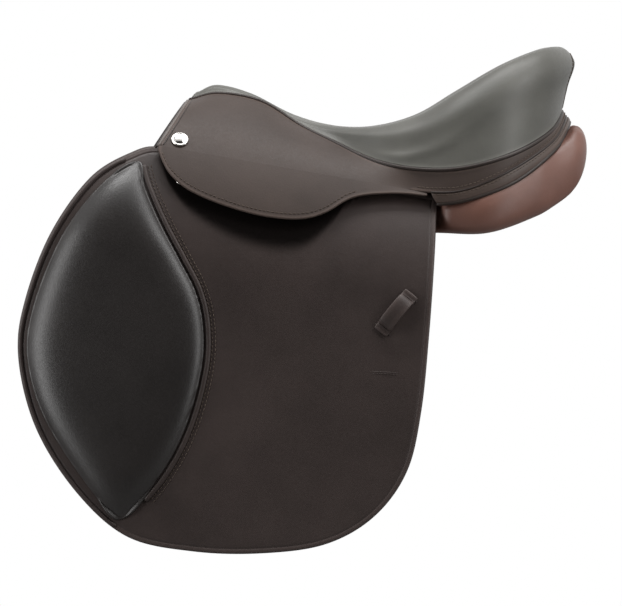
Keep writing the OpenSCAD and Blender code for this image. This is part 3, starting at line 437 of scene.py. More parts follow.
def from_frame(name, material, body, round_off, draw_in=0):
    """A copy of a frame solid with softened edges, for straps and hidden pieces."""
    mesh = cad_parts[name].data.copy()
    mesh.materials.clear()
    mesh.materials.append(material)
    mesh.polygons.foreach_set("use_smooth", [True] * len(mesh.polygons))
    mesh.polygons.foreach_set("material_index", [0] * len(mesh.polygons))
    mark(mesh, "rim", [FAR_FROM_RIM] * len(mesh.vertices))
    piece = show("soft_" + name, mesh)
    setting(piece.modifiers.new("weld", "WELD"), merge_threshold=WELD_REACH)
    if draw_in:
        setting(piece.modifiers.new("tight", "DISPLACE"), mid_level=0, strength=-draw_in * MM)
    setting(piece.modifiers.new("edge", "BEVEL"), width=round_off * MM, segments=3, limit_method="ANGLE",
            angle_limit=math.radians(40), harden_normals=True)
    dress(piece, body, [name])


# Materials
def feed(node, values):
    """Set inputs of a node to numbers and colours, or link sockets to them."""
    for key, value in values.items():
        if isinstance(value, bpy.types.NodeSocket):
            node.id_data.links.new(value, node.inputs[key])
        else:
            node.inputs[key].default_value = value
    return node


def add(tree, kind, values, output, **options):
    """One output of a new node."""
    return feed(setting(tree.nodes.new(kind), **options), values).outputs[output]


def new_material(name):
    """A material, its surface node and the place in the piece."""
    material = bpy.data.materials.new(name)
    material.use_nodes = True
    tree = material.node_tree
    return material, tree.nodes["Principled BSDF"], add(tree, "ShaderNodeTexCoord", {}, "Object")


def attribute(place, name):
    return add(place.id_data, "ShaderNodeAttribute", {}, "Fac", attribute_name=name)


def texture(place, kind, output, values, **options):
    return add(place.id_data, "ShaderNodeTex" + kind, {"Vector": place, **values}, output, **options)


def stretched(place, scale):
    return add(place.id_data, "ShaderNodeMapping", {"Vector": place, "Scale": scale}, "Vector")


def reckon(operation, *values):
    """A math node, whose first value is a socket."""
    return add(values[0].id_data, "ShaderNodeMath", dict(enumerate(values)), 0, operation=operation)


def spread(source, low, high, start=0.0, end=1.0):
    values = {"Value": source, "From Min": start, "From Max": end, "To Min": low, "To Max": high}
    return add(source.id_data, "ShaderNodeMapRange", values, "Result")


def scaled(colour, k):
    return (*(min(1, c * k) for c in colour), 1)


def blend_colour(factor, first, second):
    values = {0: factor, 6: first, 7: second}
    return add(factor.id_data, "ShaderNodeMix", values, 2, data_type="RGBA")


def finish(skin, colour, rough, height, strength, deep):
    values = {"Height": height, "Strength": strength, "Distance": deep}
    bump = add(skin.id_data, "ShaderNodeBump", values, "Normal")
    feed(skin, {"Base Color": colour, "Roughness": rough, "Normal": bump})


def leather(name, colour, rough, grain=900, worn=1.5, worn_reach=5, specular=0.3, depth=0.25):
    """Grained leather: lighter near a worn cut edge, and painted dark with weaker reflection where the mesh
    attribute for painted shade marks it.
    """
    material, skin, place = new_material(name)
    cloud = texture(place, "Noise", "Fac", {"Scale": 11, "Detail": 5, "Roughness": 0.6})
    pores = texture(place, "Voronoi", "Distance", {"Scale": grain, "Randomness": 1}, feature="SMOOTH_F1")
    fine = texture(place, "Noise", "Fac", {"Scale": grain * 0.35, "Detail": 6, "Roughness": 0.65})
    tone = blend_colour(spread(cloud, 0, 1, 0.3, 0.7), scaled(colour, 0.82), scaled(colour, 1.2))
    near_rim = spread(attribute(place, "rim"), 0.75, 0, 0.4, worn_reach)
    rubbed = reckon("MULTIPLY", near_rim, spread(fine, 0.6, 1.2, 0.3, 0.7))
    # Painted shade: where this mask is 1 the colour goes nearly black and the reflection weakens
    painted_shade_mask = attribute(place, "painted_shade")
    worn_with_painted_shade = blend_colour(painted_shade_mask, blend_colour(rubbed, tone, scaled(colour, worn)), scaled(colour, 0.12))
    uneven = spread(fine, rough - 0.06, rough + 0.08, 0.3, 0.7)
    finish(skin, worn_with_painted_shade, uneven, reckon("MULTIPLY_ADD", pores, 0.6, fine), depth, 0.0004)
    feed(skin, {"Specular IOR Level": spread(painted_shade_mask, specular, specular * 0.2)})
    return material


def metal(name, colour, rough):
    material, skin, place = new_material(name)
    lines = texture(stretched(place, (40, 900, 900)), "Noise", "Fac", {"Scale": 1, "Detail": 4})
    stain = texture(place, "Noise", "Fac", {"Scale": 60, "Detail": 5})
    tone = blend_colour(spread(stain, 0, 1, 0.4, 0.75), scaled(colour, 1), scaled(colour, 0.72))
    finish(skin, tone, spread(lines, rough - 0.06, rough + 0.1, 0.3, 0.7), lines, 0.06, 0.0002)
    feed(skin, {"Metallic": 1})
    return material


def timber(name, colour):
    material, skin, place = new_material(name)
    values = {"Scale": 1, "Detail": 8, "Distortion": 0.6}
    grain = texture(stretched(place, (14, 120, 160)), "Noise", "Fac", values)
    tone = blend_colour(spread(grain, 0, 1, 0.35, 0.65), scaled(colour, 0.7), scaled(colour, 1.15))
    finish(skin, tone, spread(grain, 0.5, 0.7, 0.3, 0.7), grain, 0.2, 0.0004)
    return material


def woven(name, colour, pitch):
    material, skin, place = new_material(name)
    values = {"Scale": 1 / pitch, "Distortion": 0.3}
    waves = [texture(place, "Wave", "Fac", values, bands_direction=axis) for axis in ("X", "Y", "Z")]
    high = reckon("ADD", reckon("ADD", waves[0], waves[1]), waves[2])
    tone = blend_colour(spread(high, 0, 1, 0.6, 2.2), scaled(colour, 0.6), scaled(colour, 1.1))
    finish(skin, tone, 0.85, high, 0.5, 0.0005)
    feed(skin, {"Specular IOR Level": 0.2})
    return material


def cellular(name, colour):
    material, skin, place = new_material(name)
    bubbles = texture(place, "Voronoi", "Distance", {"Scale": 700}, feature="F1")
    tone = blend_colour(spread(bubbles, 1, 0, 0, 0.9), scaled(colour, 0.7), scaled(colour, 1))
    finish(skin, tone, 0.95, bubbles, 0.5, 0.0006)
    return material


seat_hide = leather("seat_hide", (0.098, 0.096, 0.085), 0.42, grain=1100, specular=0.36)
flap_hide = leather("flap_hide", (0.047, 0.035, 0.032), 0.46, grain=1000, worn=1.7, specular=0.26)
skirt_hide = leather("skirt_hide", (0.057, 0.042, 0.036), 0.5, grain=1000, worn=2, worn_reach=3.5,
                     specular=0.2)
pad_hide = leather("pad_hide", (0.023, 0.020, 0.019), 0.34, grain=1300, specular=0.45)
edge_hide = leather("edge_hide", (0.026, 0.018, 0.015), 0.45)
light_hide = leather("light_hide", (0.075, 0.054, 0.045), 0.45)
roll_hide = leather("roll_hide", (0.125, 0.105, 0.095), 0.45)
panel_hide = leather("panel_hide", (0.170, 0.082, 0.062), 0.42, grain=800, worn=1.25, specular=0.4)
under_hide = leather("under_hide", (0.110, 0.056, 0.040), 0.48, grain=800, worn=1.4)
strap_hide = leather("strap_hide", (0.060, 0.036, 0.027), 0.46, grain=800, worn=1.6)
thread = leather("thread", (0.105, 0.080, 0.064), 0.7, grain=2500, specular=0.2, depth=0.5)
nickel = metal("nickel", (0.72, 0.70, 0.67), 0.2)
spring_steel = metal("spring_steel", (0.45, 0.45, 0.46), 0.34)
beech = timber("beech", (0.52, 0.36, 0.21))
web_cloth = woven("web_cloth", (0.50, 0.45, 0.36), 0.0016)
foam_fill = cellular("foam_fill", (0.62, 0.56, 0.42))

# Slots of the materials, apart from leather_edge
SLOTS = {seat_hide: "leather_seat", flap_hide: "leather_flap", skirt_hide: "leather_flap",
         pad_hide: "leather_pad", panel_hide: "leather_panel", under_hide: "leather_panel",
         nickel: "steel", web_cloth: "web", foam_fill: "foam"}

# Seat: guide lines along the middle, the rim and the seam, from pommel (key 0) to the middle of the cantle
KEYS = np.arange(12.0)
LAST_KEY = 10
KEY_STEP = 0.05
AT_END = 9.99
SEAT_LEVEL = 115.5
SEAT_LEATHER = 3.0
PIPING_ROOM = 2.4


def closed_line(rows):
    """A guide line that meets its mirror image without a kink behind the cantle."""
    a = np.array(rows, float)
    return np.concatenate([a, flip(a[-2:-1])])


def seat_line(rows):
    a = np.array(rows, float)
    return KEYS, closed_line(np.stack([a[:, 0], -a[:, 1], SEAT_LEVEL + a[:, 2]], -1))


def key_change(place, u):
    """Change of a place over a small step along the keys, for the direction there."""
    return place(np.minimum(u + KEY_STEP, LAST_KEY)) - place(np.maximum(u - KEY_STEP, 0))


SPINE = seat_line([(-184, 0, 38), (-162, 0, 46), (-124, 0, 36), (-80, 0, 14), (-40, 0, 2.5), (5, 0, -1),
                   (45, 0, 4), (78, 0, 12), (102, 0, 21), (116, 0, 28), (122, 0, 31)])
RIM = seat_line([(-186, 6, 37), (-162, 10, 45), (-124, 15, 34.5), (-80, 26, 12), (-40, 44, 1.5), (8, 78, 0),
                 (58, 94, 13), (104, 101, 40), (152, 93, 68), (194, 63, 85.5), (213, 0, 88)])
SEAM = seat_line([(-192, 12, 30), (-160, 18, 37), (-113, 26, 28), (-71, 44, 2), (-38, 68, -14.5),
                  (11, 108, -37), (60, 132, -46), (110, 143, -44), (165, 128, -28), (204, 80, -5),
                  (218, 0, 17)])
DISH = ([0, 3, 5, 7, 9, 10], [0, 1.5, -1, -6, -8, -6])
BULGE = ([0, 2, 4, 6, 8, 10], [1, 2, 6, 13, 16, 18])
RIB = [-0.3, 0, 0.3, 0.6, 0.74, 0.87, 1]


def seat_knots(u):
    """Knots of a rib of the seat, from beyond the middle over the rim to the seam."""
    q = curve(SPINE, u)
    e = curve(RIM, u)
    p = curve(SEAM, u)
    m = (q + e) / 2
    m[:, 2] += curve(DISH, u)
    fan = np.clip((u - 6) / 4, 0, 1)
    w = p - q
    w[:, 2] = 0
    w = unit(w) * curve(BULGE, u)[:, None]
    ghost = 2 * q - m
    ghost[:, 2] = m[:, 2] * (1 - fan) + ghost[:, 2] * fan
    return np.stack([ghost, q, m, e, e + (p - e) * 0.22 + w, e + (p - e) * 0.6 + w * 0.5, p], 1)


def seat_at(u, r):
    return curve((RIB, seat_knots(u)), r)


def seat_end(u, room):
    """Share of each rib at which it ends, to leave room for the piping."""
    k = seat_knots(u)
    r = k[:, 6] - k[:, 5]
    t = unit(key_change(lambda s: curve(SEAM, s), u))
    across = r - t * np.sum(r * t, 1, keepdims=True)
    return 1 - room * (RIB[6] - RIB[5]) / np.linalg.norm(across, axis=1)


def seat_out(u, r):
    along = key_change(lambda s: seat_at(s, r), u)
    along[u > AT_END] = (0, 1, 0)
    across = seat_at(u, r + 0.02) - seat_at(u, r - 0.02)
    across[(r < 0.001) & (u[:, None] < AT_END)] = (0, -1, 0)
    return unit(np.cross(across, along))


def seat_crease(u, r):
    """A soft raised fold above the seam, where the side of the seat begins to swell."""
    middle = 0.93 - 0.12 * np.clip((u - 5.6) / 2, 0, 1)
    window = np.clip((u - 4.9) / 0.7, 0, 1) * np.clip((8.0 - u) / 1.2, 0, 1)
    return 1.6 * window * np.exp(-((r - middle) / 0.035) ** 2)


def seat_shell(steps, shares):
    """The seat leather over both sides, with the points along the middle used by both."""
    u = np.linspace(0, LAST_KEY, steps + 1)
    r = shares[None] * seat_end(u, PIPING_ROOM)[:, None]
    normal = seat_out(u, r)
    base = seat_at(u, r)
    outer = mirrored(base + normal * seat_crease(u[:, None], r)[..., None])
    inner = mirrored(base - normal * SEAT_LEATHER)
    rows = 2 * steps + 1
    index = np.arange(rows * len(shares)).reshape(rows, len(shares))
    index[steps + 1:, 0] = index[:steps, 0][::-1]
    loop = np.concatenate([index[:, -1], index[-1, -2:0:-1], index[0, :-1]])
    used = np.unique(index)
    back = np.zeros(index.size, int)
    back[used] = np.arange(len(used))
    return shell(outer.reshape(-1, 3)[used], inner.reshape(-1, 3)[used], cells(back[index]), [back[loop]])


seat_shares = np.concatenate([np.linspace(0, 0.9, 40), np.linspace(0.91, 1, 10)])
whole("seat", seat_shell(90, seat_shares), seat_hide, ["seat_cover"])
seam_half = curve(SEAM, np.linspace(0, LAST_KEY, 160))
whole("seat_piping", tube(mirrored(seam_half) - [0, 0, 0.4], 2.3), edge_hide, ["seat_welt"])

# Seam of the back piece of the cantle: up from the seat seam and over the rim, with its stitches
BACK_SEAM = ([0, 1, 2, 3, 4], [(9.76, 0.97), (9.74, 0.85), (9.78, 0.74), (9.9, 0.7), (10, 0.69)])
BACK_STEPS = 60


def on_cantle(beside):
    spots = curve(BACK_SEAM, np.linspace(0, 4, BACK_STEPS)) + [beside, 0]
    u = np.minimum(spots[:, 0], LAST_KEY)
    r = spots[:, 1:]
    return seat_at(u, r)[:, 0], seat_out(u, r)[:, 0]


seam_spot, seam_up = on_cantle(0)
whole("cantle_seam", tube(mirrored(seam_spot - seam_up * 0.2), 0.7, 8), edge_hide)
side_spot, side_up = on_cantle(-0.05)
whole("cantle_stitches", stitches(mirrored(side_spot + side_up * 0.1), mirrored(side_up)), thread)

# Skirts: from the seat seam to the bend, and on as the band under the cantle
SKIRT_FACE = 17
SKIRT_LEATHER = 3
BEND_A = stack(BEND_FRONT, BEND_HIGH, SKIRT_FACE)
BEND_B = stack(BEND_REAR, BEND_LOW, SKIRT_FACE)


def bend_at(x):
    return BEND_A + (BEND_B - BEND_A) * bend_share(real(x))[..., None]


HEM_X = (np.arange(7.0), [-225, -196, -148, -98, -52, -2, 50])
HEM = (KEYS, closed_line([*bend_at(HEM_X[1]), (105, -146, 46.5), (161, -133, 70), (207, -84, 101),
                          (222.5, 0, 127.5)]))
BEND_KEY = 6
SHOULDER = ([0, 1, 2, 3, 4, 5, 6, 10], [46, 48, 48, 40, 28, 12, 9, 6])
SHOULDER_OUT = ([0, 4, 5, 6, 7, 10], [0.8, 0.8, 0.8, 0.5, -0.1, -0.1])
SHOULDER_AT = ([0, 1, 2, 10], [0.1, 0.45, 0.6, 0.6])


def hem_at(u):
    return np.where((u <= BEND_KEY)[:, None], bend_at(curve(HEM_X, np.minimum(u, BEND_KEY))), curve(HEM, u))


def skirt_pt(u, v):
    """Points of the skirt's face, with v from the seam (0) over a shoulder to the hem (1)."""
    p = curve(SEAM, u)
    low = hem_at(u)
    h = curve(SHOULDER, u)
    out = h * curve(SHOULDER_OUT, u) * (u <= 9.9)
    at = curve(SHOULDER_AT, u)
    c = np.stack([p[:, 0] * (1 - at) + low[:, 0] * at, low[:, 1] + out, low[:, 2] + h], -1)
    v = v[..., None]
    return p[:, None] * (1 - v) ** 2 + c[:, None] * (2 * v * (1 - v)) + low[:, None] * v**2


def skirt_norm(u, v):
    along = key_change(lambda s: skirt_pt(s, v), u)
    n = -np.cross(along, skirt_pt(u, v + 0.02) - skirt_pt(u, v - 0.02))
    n[u > AT_END, :, 1] = 0
    return unit(n)


def skirt_rate(u, start, end):
    """Millimetres for each unit of v between two values of v."""
    one = np.ones((len(u), 1))
    return np.linalg.norm(skirt_pt(u, one * end) - skirt_pt(u, one * start), axis=2) / (end - start)


skirt_u = np.concatenate([np.linspace(0, 0.4, 10), np.linspace(0.45, LAST_KEY, 150)])
skirt_a = PIPING_ROOM / skirt_rate(skirt_u, 0, 0.02)
skirt_b = np.where(skirt_u[:, None] <= BEND_KEY, 1, 1 - 0.6 / skirt_rate(skirt_u, 0.98, 1))
skirt_v = skirt_a + (skirt_b - skirt_a) * np.linspace(0, 1, 36)[None]
skirt_face = skirt_pt(skirt_u, skirt_v)
skirt_back = skirt_face - skirt_norm(skirt_u, skirt_v) * SKIRT_LEATHER
plain = np.zeros(skirt_v.shape, bool)
plain[skirt_u <= BEND_KEY - 0.02, -1] = True
plain[-1, :] = True
both("skirt", grid_shell(skirt_face, skirt_back, plain), skirt_hide, "saddle")

# Lifting part of the skirt: its depth below the bend
LIFT = ([-226, -222, -216, -205, -192, -165, -126, -93, -66, -44, -22, -5, 22, 45, 66],
        [5, 15, 25.5, 35.5, 42.5, 50, 55.5, 55.3, 50.5, 40, 23.2, 14.8, 7.8, 4, 2.6])
lift_x = np.concatenate([np.linspace(-226, -216, 12), np.linspace(-214, 66, 126)])
lift_low = bend_z(lift_x) - curve(LIFT, lift_x)
lift_share = np.concatenate([np.linspace(0, 0.85, 14), np.linspace(0.87, 1, 12)])


def lift_grid(depth, drop):
    top = bend_z(lift_x) - drop
    z = top[:, None] + (np.minimum(lift_low, top - 0.5) - top)[:, None] * lift_share[None]
    return stack(np.repeat(lift_x[:, None], len(lift_share), 1), z, depth)


plain = np.zeros((len(lift_x), len(lift_share)), bool)
plain[:, 0] = True
lift_data = grid_shell(lift_grid(SKIRT_FACE, 0), lift_grid(SKIRT_FACE - SKIRT_LEATHER, 2), plain)
both("skirt_lift", lift_data, skirt_hide, "skirt")
sewn = (lift_x > -224) & (lift_x < -8) & (lift_low + 5 < bend_z(lift_x) - 3)
sew_x = lift_x[sewn]
sew_z = lift_low[sewn] + 5
sew_row = stack(sew_x, sew_z, SKIRT_FACE + 0.15)
both("skirt_stitches", stitches(sew_row, stack_out(sew_x, sew_z)), thread, "skirt")

# Rolled edges in front of the skirts
front_u = np.array([0.0])
front_v = np.linspace(0.05, 0.99, 40)[None]
front_edge = skirt_pt(front_u, front_v)[0]
front_norm = skirt_norm(front_u, front_v)[0]
for name, offset, sunk, radius, hide in (("front_roll", (-2.4, 0, 0), 1.4, 1.9, roll_hide),
                                         ("front_fold", (-5.6, 0, -0.6), 3.0, 1.5, edge_hide),
                                         ("front_crease", (2.6, 0, 0.4), 0.4, 0.8, edge_hide)):
    both(name, tube(front_edge + offset - front_norm * sunk, radius), hide, "saddle")

# Band under the cantle: stitches along its lower edge
band_u = np.linspace(6.1, LAST_KEY, 110)
band_v = 1 - 4 / skirt_rate(band_u, 0.98, 1)
band_row = skirt_pt(band_u, band_v)[:, 0]
band_out = skirt_norm(band_u, band_v)[:, 0]
whole("band_stitches", stitches(mirrored(band_row + band_out * 0.15), mirrored(band_out)), thread)


def plane_axes(up):
    """Two directions across a surface normal, the first one level."""
    side = unit(np.cross([0, 0, 1], up))
    return side, np.cross(up, side)


def circle(n, side, other):
    turns = np.arange(n) * 2 * math.pi / n
    return np.cos(turns)[:, None] * side + np.sin(turns)[:, None] * other


# Skirt nails: a low dome with a raised rim, as radius and height
NAIL = [(9.2, 0), (9.5, 0.5), (9.5, 1.3), (9.2, 1.9), (8.6, 2.3), (8, 2.3), (7.5, 1.95), (7.2, 1.8),
        (6.9, 2), (5.6, 3), (4, 3.6), (2, 3.95), (0.6, 4)]
nail_at = (np.array([0.62]), np.array([[0.9]]))
nail_spot = skirt_pt(*nail_at)[0, 0]
nail_up = skirt_norm(*nail_at)[0, 0]
nail_circle = circle(48, *plane_axes(nail_up))
nail_rows = [nail_spot + nail_up * (h + 0.1) + r * nail_circle for r, h in NAIL]
both("skirt_nail", loft(nail_rows), nickel, "saddle")

# Flaps, cut out at the top for the stirrup bars
BAR_FRONT = -152
BAR_REAR = -90
FLAP_LEATHER = 4.0


def on_bend(x, down):
    return x, bend_z(x) - down


FLAP = [on_bend(-196, 2), on_bend(-226, 2.5), (-252, 88), (-300, 60), (-345, -2), (-374, -78), (-381, -138),
        (-362, -214), (-318, -284), (-262, -333), (-190, -349), (-115, -351), (-45, -341), (8, -311),
        (44, -262), (60, -196), (69, -110), (75, -25), (77, 24), (77.4, 35), (76.8, 39.4), on_bend(71, 2.2),
        on_bend(40, 2), on_bend(-6, 2), on_bend(BAR_REAR + 42, 2), (BAR_REAR + 34, bend_z(BAR_REAR) - 12),
        (BAR_REAR + 16, 44), (BAR_FRONT + 8, 46), (BAR_FRONT - 14, 62), on_bend(BAR_FRONT - 20, 2)]
flap_loop = smooth_loop(FLAP, 336)
flap_centre = (-150, -150)
flap_shares = np.linspace(0.06, 0.97, 34)
flap_insets = (8, 7, 6.2, 5.6, 5.1, 4.6, 4, 3.2, 2.4, 1.6)
flap_rings = disc_rings(flap_loop, flap_centre, flap_shares, flap_insets)
flap_top = np.full(len(flap_rings) + 1, FLAP_LEATHER)
flap_top[-10:] -= (0, 0.05, 0.2, 0.5, 0.55, 0.3, 0.05, 0, 0, 0.05)
flap_data = disc_shell(flap_rings, flap_centre, flap_top, 0)

# Painted shadow of the skirt on the flap: below the skirt's edge the flap's colour is painted dark, as far
# down as these depths reach
SKIRT_SHADOW_REACH = ([-226, -192, -126, -71, -38, -15, 0], [10, 24, 36, 33, 17, 4, 0.5])


def painted_shadow_share(points):
    x = np.clip(points[:, 0], SKIRT_SHADOW_REACH[0][0], SKIRT_SHADOW_REACH[0][-1])
    reach = curve(SKIRT_SHADOW_REACH, x)
    below = bend_z(x) - curve(LIFT, x) - points[:, 2]
    inside = (points[:, 0] > SKIRT_SHADOW_REACH[0][0]) & (points[:, 0] < SKIRT_SHADOW_REACH[0][-1])
    return np.where(inside, 1 - eased((below - reach * 0.7) / (reach * 0.5)), 0)


# The flap carries the painted shadow under the skirt's edge
both("flap", flap_data, flap_hide, "flap", painted_shade=painted_shadow_share(flap_data[0]))

# Knee pieces: swollen pads on the flaps, the raised seam behind them and the rolled edge in front
KNEE_SEAM = np.array([(-250, 78), (-243, 50), (-226, 10), (-205, -30), (-187, -66), (-179, -104),
                      (-181, -150), (-198, -212), (-226, -265), (-268, -314)], float)
KNEE_FRONT = [(-300, -284), (-351, -206), (-371, -138), (-364, -80), (-333, -4), (-290, 52)]
KNEE_SWELL = 15
KNEE_LIP = 5.2
KNEE_UNDER = 4.3
KNEE_SOFT = 17
SEAM_STEPS = 140
knee_centre = (-277, -110)
knee_insets = (7, 5.5, 4, 2.8, 1.8, 1, 0.5)
knee_loop = smooth_loop(np.concatenate([KNEE_FRONT, KNEE_SEAM]), 240)
knee_rings = disc_rings(knee_loop, knee_centre, np.linspace(0.06, 0.97, 24), knee_insets)
knee_flat = np.concatenate([[knee_centre], knee_rings.reshape(-1, 2)])
knee_seam = (np.arange(10.0), KNEE_SEAM)
knee_front = (np.arange(8.0), np.concatenate([KNEE_SEAM[-1:], KNEE_FRONT, KNEE_SEAM[:1]]))


def rise_from(line, steps):
    """Share of the full swell, from none at a line on the pad's edge."""
    edge = even(curve(line, np.linspace(0, len(line[0]) - 1, steps)), 2)
    far = distance(np.pad(knee_flat, ((0, 0), (0, 1))), np.pad(edge, ((0, 0), (0, 1))))
    return 1 - np.exp(-far / KNEE_SOFT)


knee_rise = rise_from(knee_front, 60) * rise_from(knee_seam, 80)
knee_top = KNEE_LIP + KNEE_SWELL * (knee_rise / knee_rise.max()) ** 0.75
knee_data = disc_shell(knee_rings, knee_centre, knee_top, KNEE_UNDER)
both("knee_pad", knee_data, pad_hide, "flap")

seam_flat = curve(knee_seam, np.linspace(0, 9, SEAM_STEPS))
seam_turn = unit(np.gradient(seam_flat, axis=0))
seam_side = np.stack([-seam_turn[:, 1], seam_turn[:, 0]], -1)


def beside_seam(off, d):
    """A line beside the knee seam without its ends, and the directions out of the flap there."""
    q = (seam_flat + seam_side * off)[4:132]
    return stack(*q.T, d), stack_out(*q.T)


welt_path, welt_out = beside_seam(5.6, 5.0)
welt_data = tube(welt_path, 2.9, 14, flatten=0.8, up=welt_out)
both("knee_welt", welt_data, flap_hide, "flap")
for label, off in (("inner", 9.8), ("outer", 13.4)):
    both("knee_stitches_" + label, stitches(*beside_seam(off, FLAP_LEATHER + 0.12)), thread, "flap")

roll_flat = disc_rings(flap_loop, flap_centre, (), (2.6,))[-1]
roll_line = roll_flat[(roll_flat[:, 0] < -262) & (roll_flat[:, 1] < 86) & (roll_flat[:, 1] > -322)]
roll_path = stack(*roll_line.T, FLAP_LEATHER + 0.1)
both("knee_roll", tube(roll_path, 2.3), flap_hide, "flap")

# Keepers for the ends of the stirrup leathers
KEEPER_AT = (33.0, -88.0)
KEEPER_HALF = 7.5
KEEPER_LEATHER = 2.8
SLIT_AWAY = 23.5
keep_up = stack_out(*KEEPER_AT)
keep_along = unit(np.cross(np.cross(keep_up, [0.63, 0, 0.78]), keep_up))
keep_side = np.cross(keep_up, keep_along)
keep_base = stack(*KEEPER_AT, 4.6)
keep_turn = np.linspace(0, math.pi, 30)[1:-1]
keep_bow = np.stack([-18.5 * np.cos(keep_turn), 8.6 * np.sin(keep_turn) ** 0.8 + 0.1], -1)
keep_rise = even(np.concatenate([[[-26, 0.1], [-22, 0.1]], keep_bow, [[22, 0.1], [26, 0.1]]]), 1.2)
keep_slope = unit(np.gradient(keep_rise, axis=0))
keep_across = np.linspace(-KEEPER_HALF, KEEPER_HALF, 9)
keep_crown = 0.5 * (1 - (keep_across / KEEPER_HALF) ** 2)


def keeper_grid(high, crown):
    a = keep_rise[:, 0] - keep_slope[:, 1] * high
    c = keep_rise[:, 1] + keep_slope[:, 0] * high
    spot = keep_base + a[:, None] * keep_along + c[:, None] * keep_up
    return spot[:, None] + keep_across[None, :, None] * keep_side + crown[None, :, None] * keep_up


keeper_data = grid_shell(keeper_grid(KEEPER_LEATHER, keep_crown), keeper_grid(0, keep_crown * 0))
both("keeper", keeper_data, flap_hide, "flap")
SLIT_SIZE = [0.4, 0.8, 1, 1.1, 1.2, 1.2, 1.2, 1.2, 1.1, 1, 0.8, 0.4]
for label, off in (("upper", SLIT_AWAY), ("lower", -SLIT_AWAY)):
    mouth = [keep_base + keep_along * off + keep_side * s + keep_up * 0.2 for s in np.linspace(-10, 10, 12)]
    both("keeper_slit_" + label, tube(mouth, SLIT_SIZE, 8), edge_hide, "flap")

# A fine slit in the flap below the keeper, between two lips
slit_x = np.linspace(2, 40, 24)
slit_z = np.linspace(-153.0, -155.0, 24)
lip_size = 0.9 * np.sin(np.linspace(0.15, math.pi - 0.15, 24))
for label, off in (("top", 0.9), ("bottom", -0.9)):
    lip = tube(stack(slit_x, slit_z + off, FLAP_LEATHER - 0.3), lip_size, 8)
    both("slit_lip_" + label, lip, flap_hide, "flap")

# Front dees of round wire, each with its eye
DEE_X = -198.0
dee_z = bend_z(DEE_X) - 25
dee_up = stack_out(DEE_X, dee_z)
dee_side, dee_down = plane_axes(dee_up)
dee_base = stack(DEE_X, dee_z, 4.2) + dee_up * 4.4
dee_turn = np.linspace(0, math.pi, 20)
dee_bow = np.stack([8.8 * np.cos(dee_turn), -12 - 5.8 * np.sin(dee_turn)], -1)
dee_form = np.concatenate([[(0, -5.4), (4.5, -5.4), (7.6, -5.8), (8.8, -7.6)], dee_bow,
                           [(-8.8, -7.6), (-7.6, -5.8), (-4.5, -5.4)]])
dee_form = even(np.concatenate([dee_form, dee_form[:1]]), 1.2)[:-1]
wire = tube(dee_base + dee_form[:, :1] * dee_side + dee_form[:, 1:] * dee_down, 1.8, closed=True)
eye = tube(dee_base + 3.3 * circle(28, dee_side, dee_down), 1.2, 10, closed=True)
both("dee_ring", joined(wire, eye), nickel, "dee")

# Sweat flaps and the blocks on them
SWEAT_FACE = -22.0
SWEAT_BACK = -25.0
BLOCK_FOOT = -21.7
BLOCK_LIP = -19.8
SWEAT = [(-250, 66), (-298, 48), (-337, -10), (-364, -82), (-371, -138), (-353, -211), (-311, -279),
         (-262, -321), (-232, -330), (-190, -337), (-115, -339), (-50, -329), (-4, -302), (36, -259),
         (53, -195), (63, -110), (69, -25), (69, 8), on_bend(52, 34), on_bend(0, 36), on_bend(-70, 36),
         on_bend(-140, 32), on_bend(-205, 25)]
sweat_rings = disc_rings(smooth_loop(SWEAT, 230), flap_centre, flap_shares, flap_insets)
sweat_top = np.full(len(sweat_rings) + 1, SWEAT_FACE)
sweat_top[-10:] -= (0, 0.05, 0.2, 0.45, 0.5, 0.3, 0.05, 0, 0, 0.05)
sweat_data = disc_shell(sweat_rings, flap_centre, sweat_top, SWEAT_BACK)
both("sweat_flap", sweat_data, under_hide, "saddle")


def block(name, points, centre, swell, n):
    """A padded block on the sweat flap."""
    shares = np.linspace(0.1, 0.96, 14)
    rings = disc_rings(smooth_loop(points, n), centre, shares, (3, 2, 1.2, 0.6, 0.3))
    r = np.concatenate([[0], shares * 0.92, np.linspace(0.93, 1, 5)])
    top = BLOCK_LIP + swell * (1 - r**2.6) ** 0.75
    top[-5:] += (0.6, 0.6, 0.5, 0.3, 0)
    data = disc_shell(rings, centre, top, BLOCK_FOOT)
    both(name, data, under_hide, "saddle")


KNEE_BLOCK = [(-258, 40), (-312, 6), (-344, -70), (-350, -135), (-332, -196), (-303, -178), (-290, -110),
              (-270, -40), (-248, 8)]
THIGH_BLOCK = [(36, -62), (52, -66), (56, -100), (53, -160), (43, -208), (32, -220), (30, -160), (31, -100)]
block("knee_block", KNEE_BLOCK, (-310, -90), 18, 90)
block("thigh_block", THIGH_BLOCK, (43, -138), 14.5, 80)

# Panels: heights of outer top, outer foot, inner foot and inner top, then half widths of foot and top
PANEL = ([-232, -150, -60, 20, 80, 135, 190, 212, 224, 230, 245],
         [(30, -22, 46, 69, 100, 96), (36, -15, 46, 77, 108, 104), (44, -6, 36, 70, 118, 114),
          (40, -3, 26, 60, 124, 120), (36, -3, 22, 58, 136, 132), (49, -3, 22, 66, 147, 141),
          (79, 17, 36, 90, 121, 112), (94, 30, 50, 102, 101, 85), (104, 39, 58, 114, 90, 72),
          (109, 45, 63, 120, 85, 67), (119, 55, 71, 128, 77, 59)])
PANEL_FRONT = -232.0
PANEL_END = 226
PANEL_CAP = 18.5
PANEL_OUT = 25.8
PANEL_SMALL = 0.86
LEAN_TOP = 90
CHANNEL_HALF = 33.0


def panel_shear(x):
    """How much the front sections of the panel lean."""
    return np.where(x < -100, 0.45 * (-100 - x) / 132, 0)


def panel_face(x, z):
    gx, gz = side_slope(x, z)
    return side_y(x, z) - PANEL_OUT * np.sqrt(1 + gx * gx + gz * gz)


